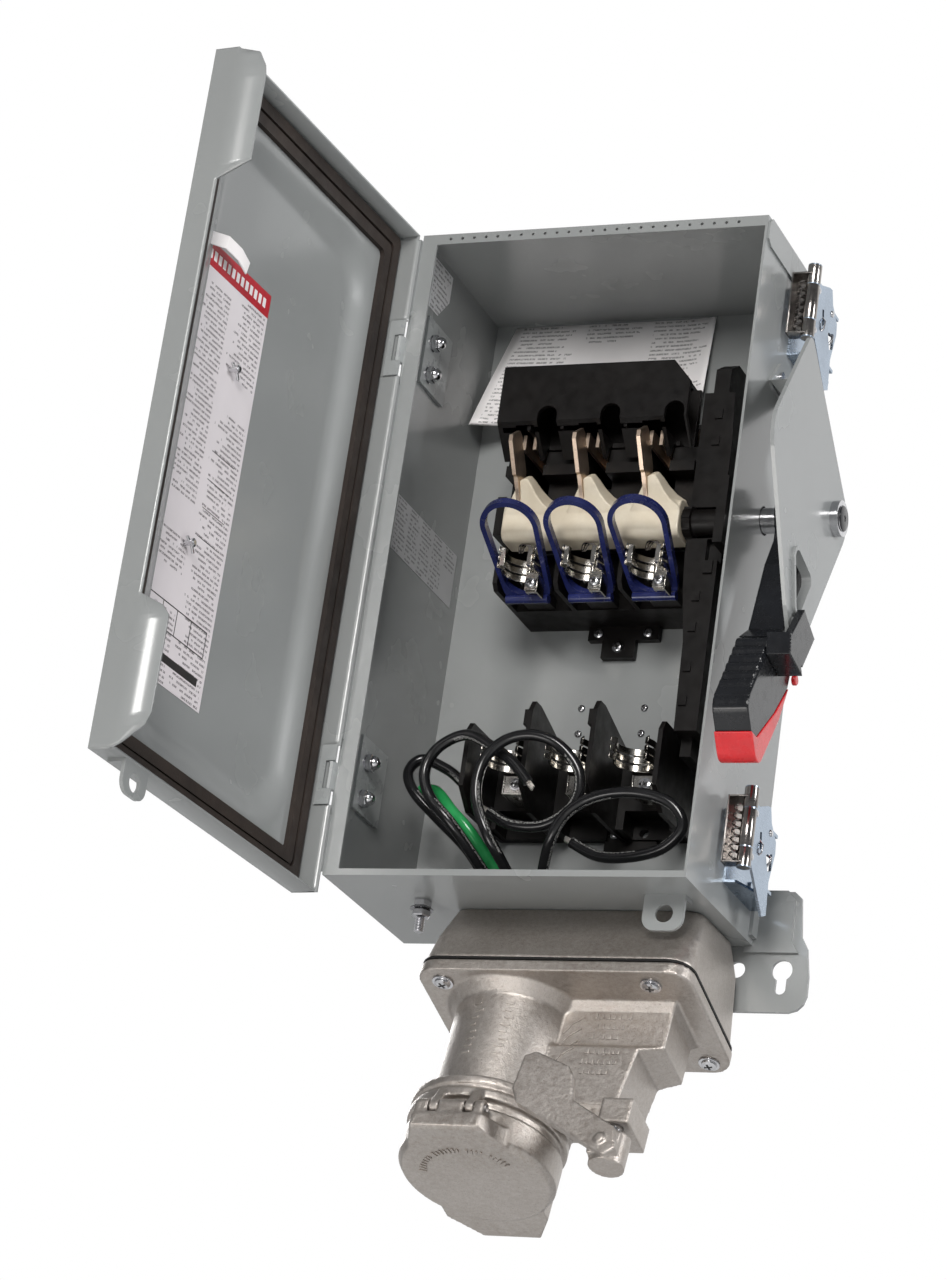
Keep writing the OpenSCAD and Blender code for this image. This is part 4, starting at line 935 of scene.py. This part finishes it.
# ---------- latches: channel, spring, rivets and dark rod ----------
CH_X0, CH_X1, CH_Y0, CH_Y1, CH_THICK = 118.2, 130.6, -84.0, -75.0, 1.2
COIL_X, COIL_Y, COIL_R, COIL_TURNS, COIL_RISE, COIL_SIDES = 124.4, -80.2, 2.5, 7, 34, 16
for latch, z in (("upper", 386), ("lower", 42)):
    z0, z1 = z - 17, z + 25
    channel = Shape()
    channel.block(CH_X0, CH_X1, CH_Y1 - CH_THICK, CH_Y1, z0, z1)
    channel.block(CH_X0, CH_X0 + CH_THICK, CH_Y0, CH_Y1, z0, z1)
    channel.block(CH_X0, CH_X1, CH_Y0, CH_Y1, z0, z0 + CH_THICK)
    channel.block(CH_X0, CH_X1, CH_Y0, CH_Y1, z1 - CH_THICK, z1)
    channel.make(f"latch_channel_{latch}", "dark_chrome", body=f"latch_{latch}", bevel=0.4, slot="bright_steel")
    coil = []
    for k in range(COIL_TURNS * COIL_SIDES + 1):
        t = 2 * math.pi * k / COIL_SIDES
        coil.append((COIL_X + COIL_R * math.cos(t), COIL_Y + COIL_R * math.sin(t),
                     z0 + 3 + COIL_RISE * k / (COIL_TURNS * COIL_SIDES)))
    spring = Shape()
    spring.sweep(coil, circle(0.55, 8))
    spring.make(f"latch_spring_{latch}", "dark_chrome", body=f"latch_{latch}", slot="bright_steel")
    bar = Shape()
    bar.turned([(3.6, 0), (4.36, 0.7), (4.36, 12), (4.1, 12.5), (4.36, 13), (4.36, 36), (4.1, 36.5), (4.36, 37),
                (4.36, 49.4), (3.7, 50.1)], (131, -79, z - 19.05), (0, 0, 1), 32)
    bar.make(f"latch_rod_{latch}", "dark_chrome", body=f"latch_{latch}", slot="bright_steel")
    rivets = Shape()
    for y, h in ((-72.5, z + 17), (-72.5, z - 10), (-44.5, z + 15)):
        rivets.turned([(2.2, 0), (2.0, 0.6), (1.3, 1.0), (0.3, 1.15)], (133, y, h), (1, 0, 0), 18)
    rivets.make(f"latch_rivets_{latch}", "bright_steel", body=f"latch_{latch}")
    hook = Shape()
    hook.sweep([(131.0, -60.2, z - 6), (134.2, -60.2, z - 3), (134.6, -60.2, z + 2), (132, -60.2, z + 5)],
               circle(0.7, 8), up=(0, 1, 0))
    hook.sweep([(131.0, -42.5, z - 6), (133.6, -42.5, z - 3), (134.2, -42.5, z), (131.4, -42.5, z + 2)],
               circle(0.8, 8), up=(0, 1, 0))
    hook.make(f"latch_spring_end_{latch}", "bright_steel", body=f"latch_{latch}")

# ---------- fuse terminals: folded brackets, screws and the clips' wire retainers ----------
brackets, retainers, screw_tops, screw_recess_shades = Shape(), Shape(), Shape(), Shape()
for x in POLES:
    brackets.block(x + 4.6, x + 12.4, -77.6, -76.2, 203.5, 213.5)
    brackets.block(x + 11.4, x + 12.6, -77.6, -66, 202.5, 214.5)
    brackets.block(x + 4.2, x + 5.2, -77.6, -70, 203.5, 213.5)
    cross_screw(screw_tops, screw_recess_shades, (x + 8.3, -77.5, 208.4), (0, -1, 0), 3.7, 2.2, x * 0.05)
    cross_screw(screw_tops, screw_recess_shades, (x + 5.5, -50.0, 86), (0, -1, 0), 3.9, 1.2, x * 0.03)
    for k in range(3):
        line = spline([(x - 6 + k, -70, 232), (x - 3 + 2 * k, -76, 234.5), (x + 3 + k, -78, 233),
                       (x + 7, -73, 229)], 6)
        retainers.sweep(line, circle(0.55, 8))
    brackets.block(x - 3.4, x + 13.8, -50.6, -49.6, 79.6, 81)
    brackets.block(x - 3.4, x - 2.2, -50.6, -40, 79.6, 92)
brackets.make("terminal_brackets", "tinned_copper", bevel=0.3)
retainers.make("clip_retainers", "dark_chrome", slot="bright_steel")
screw_tops.make("terminal_screws", "bright_steel")
# the terminal screws' recesses are dark bars of painted shade
screw_recess_shades.make("terminal_screw_recess_shade", painted_recess_shade, slot="bright_steel")
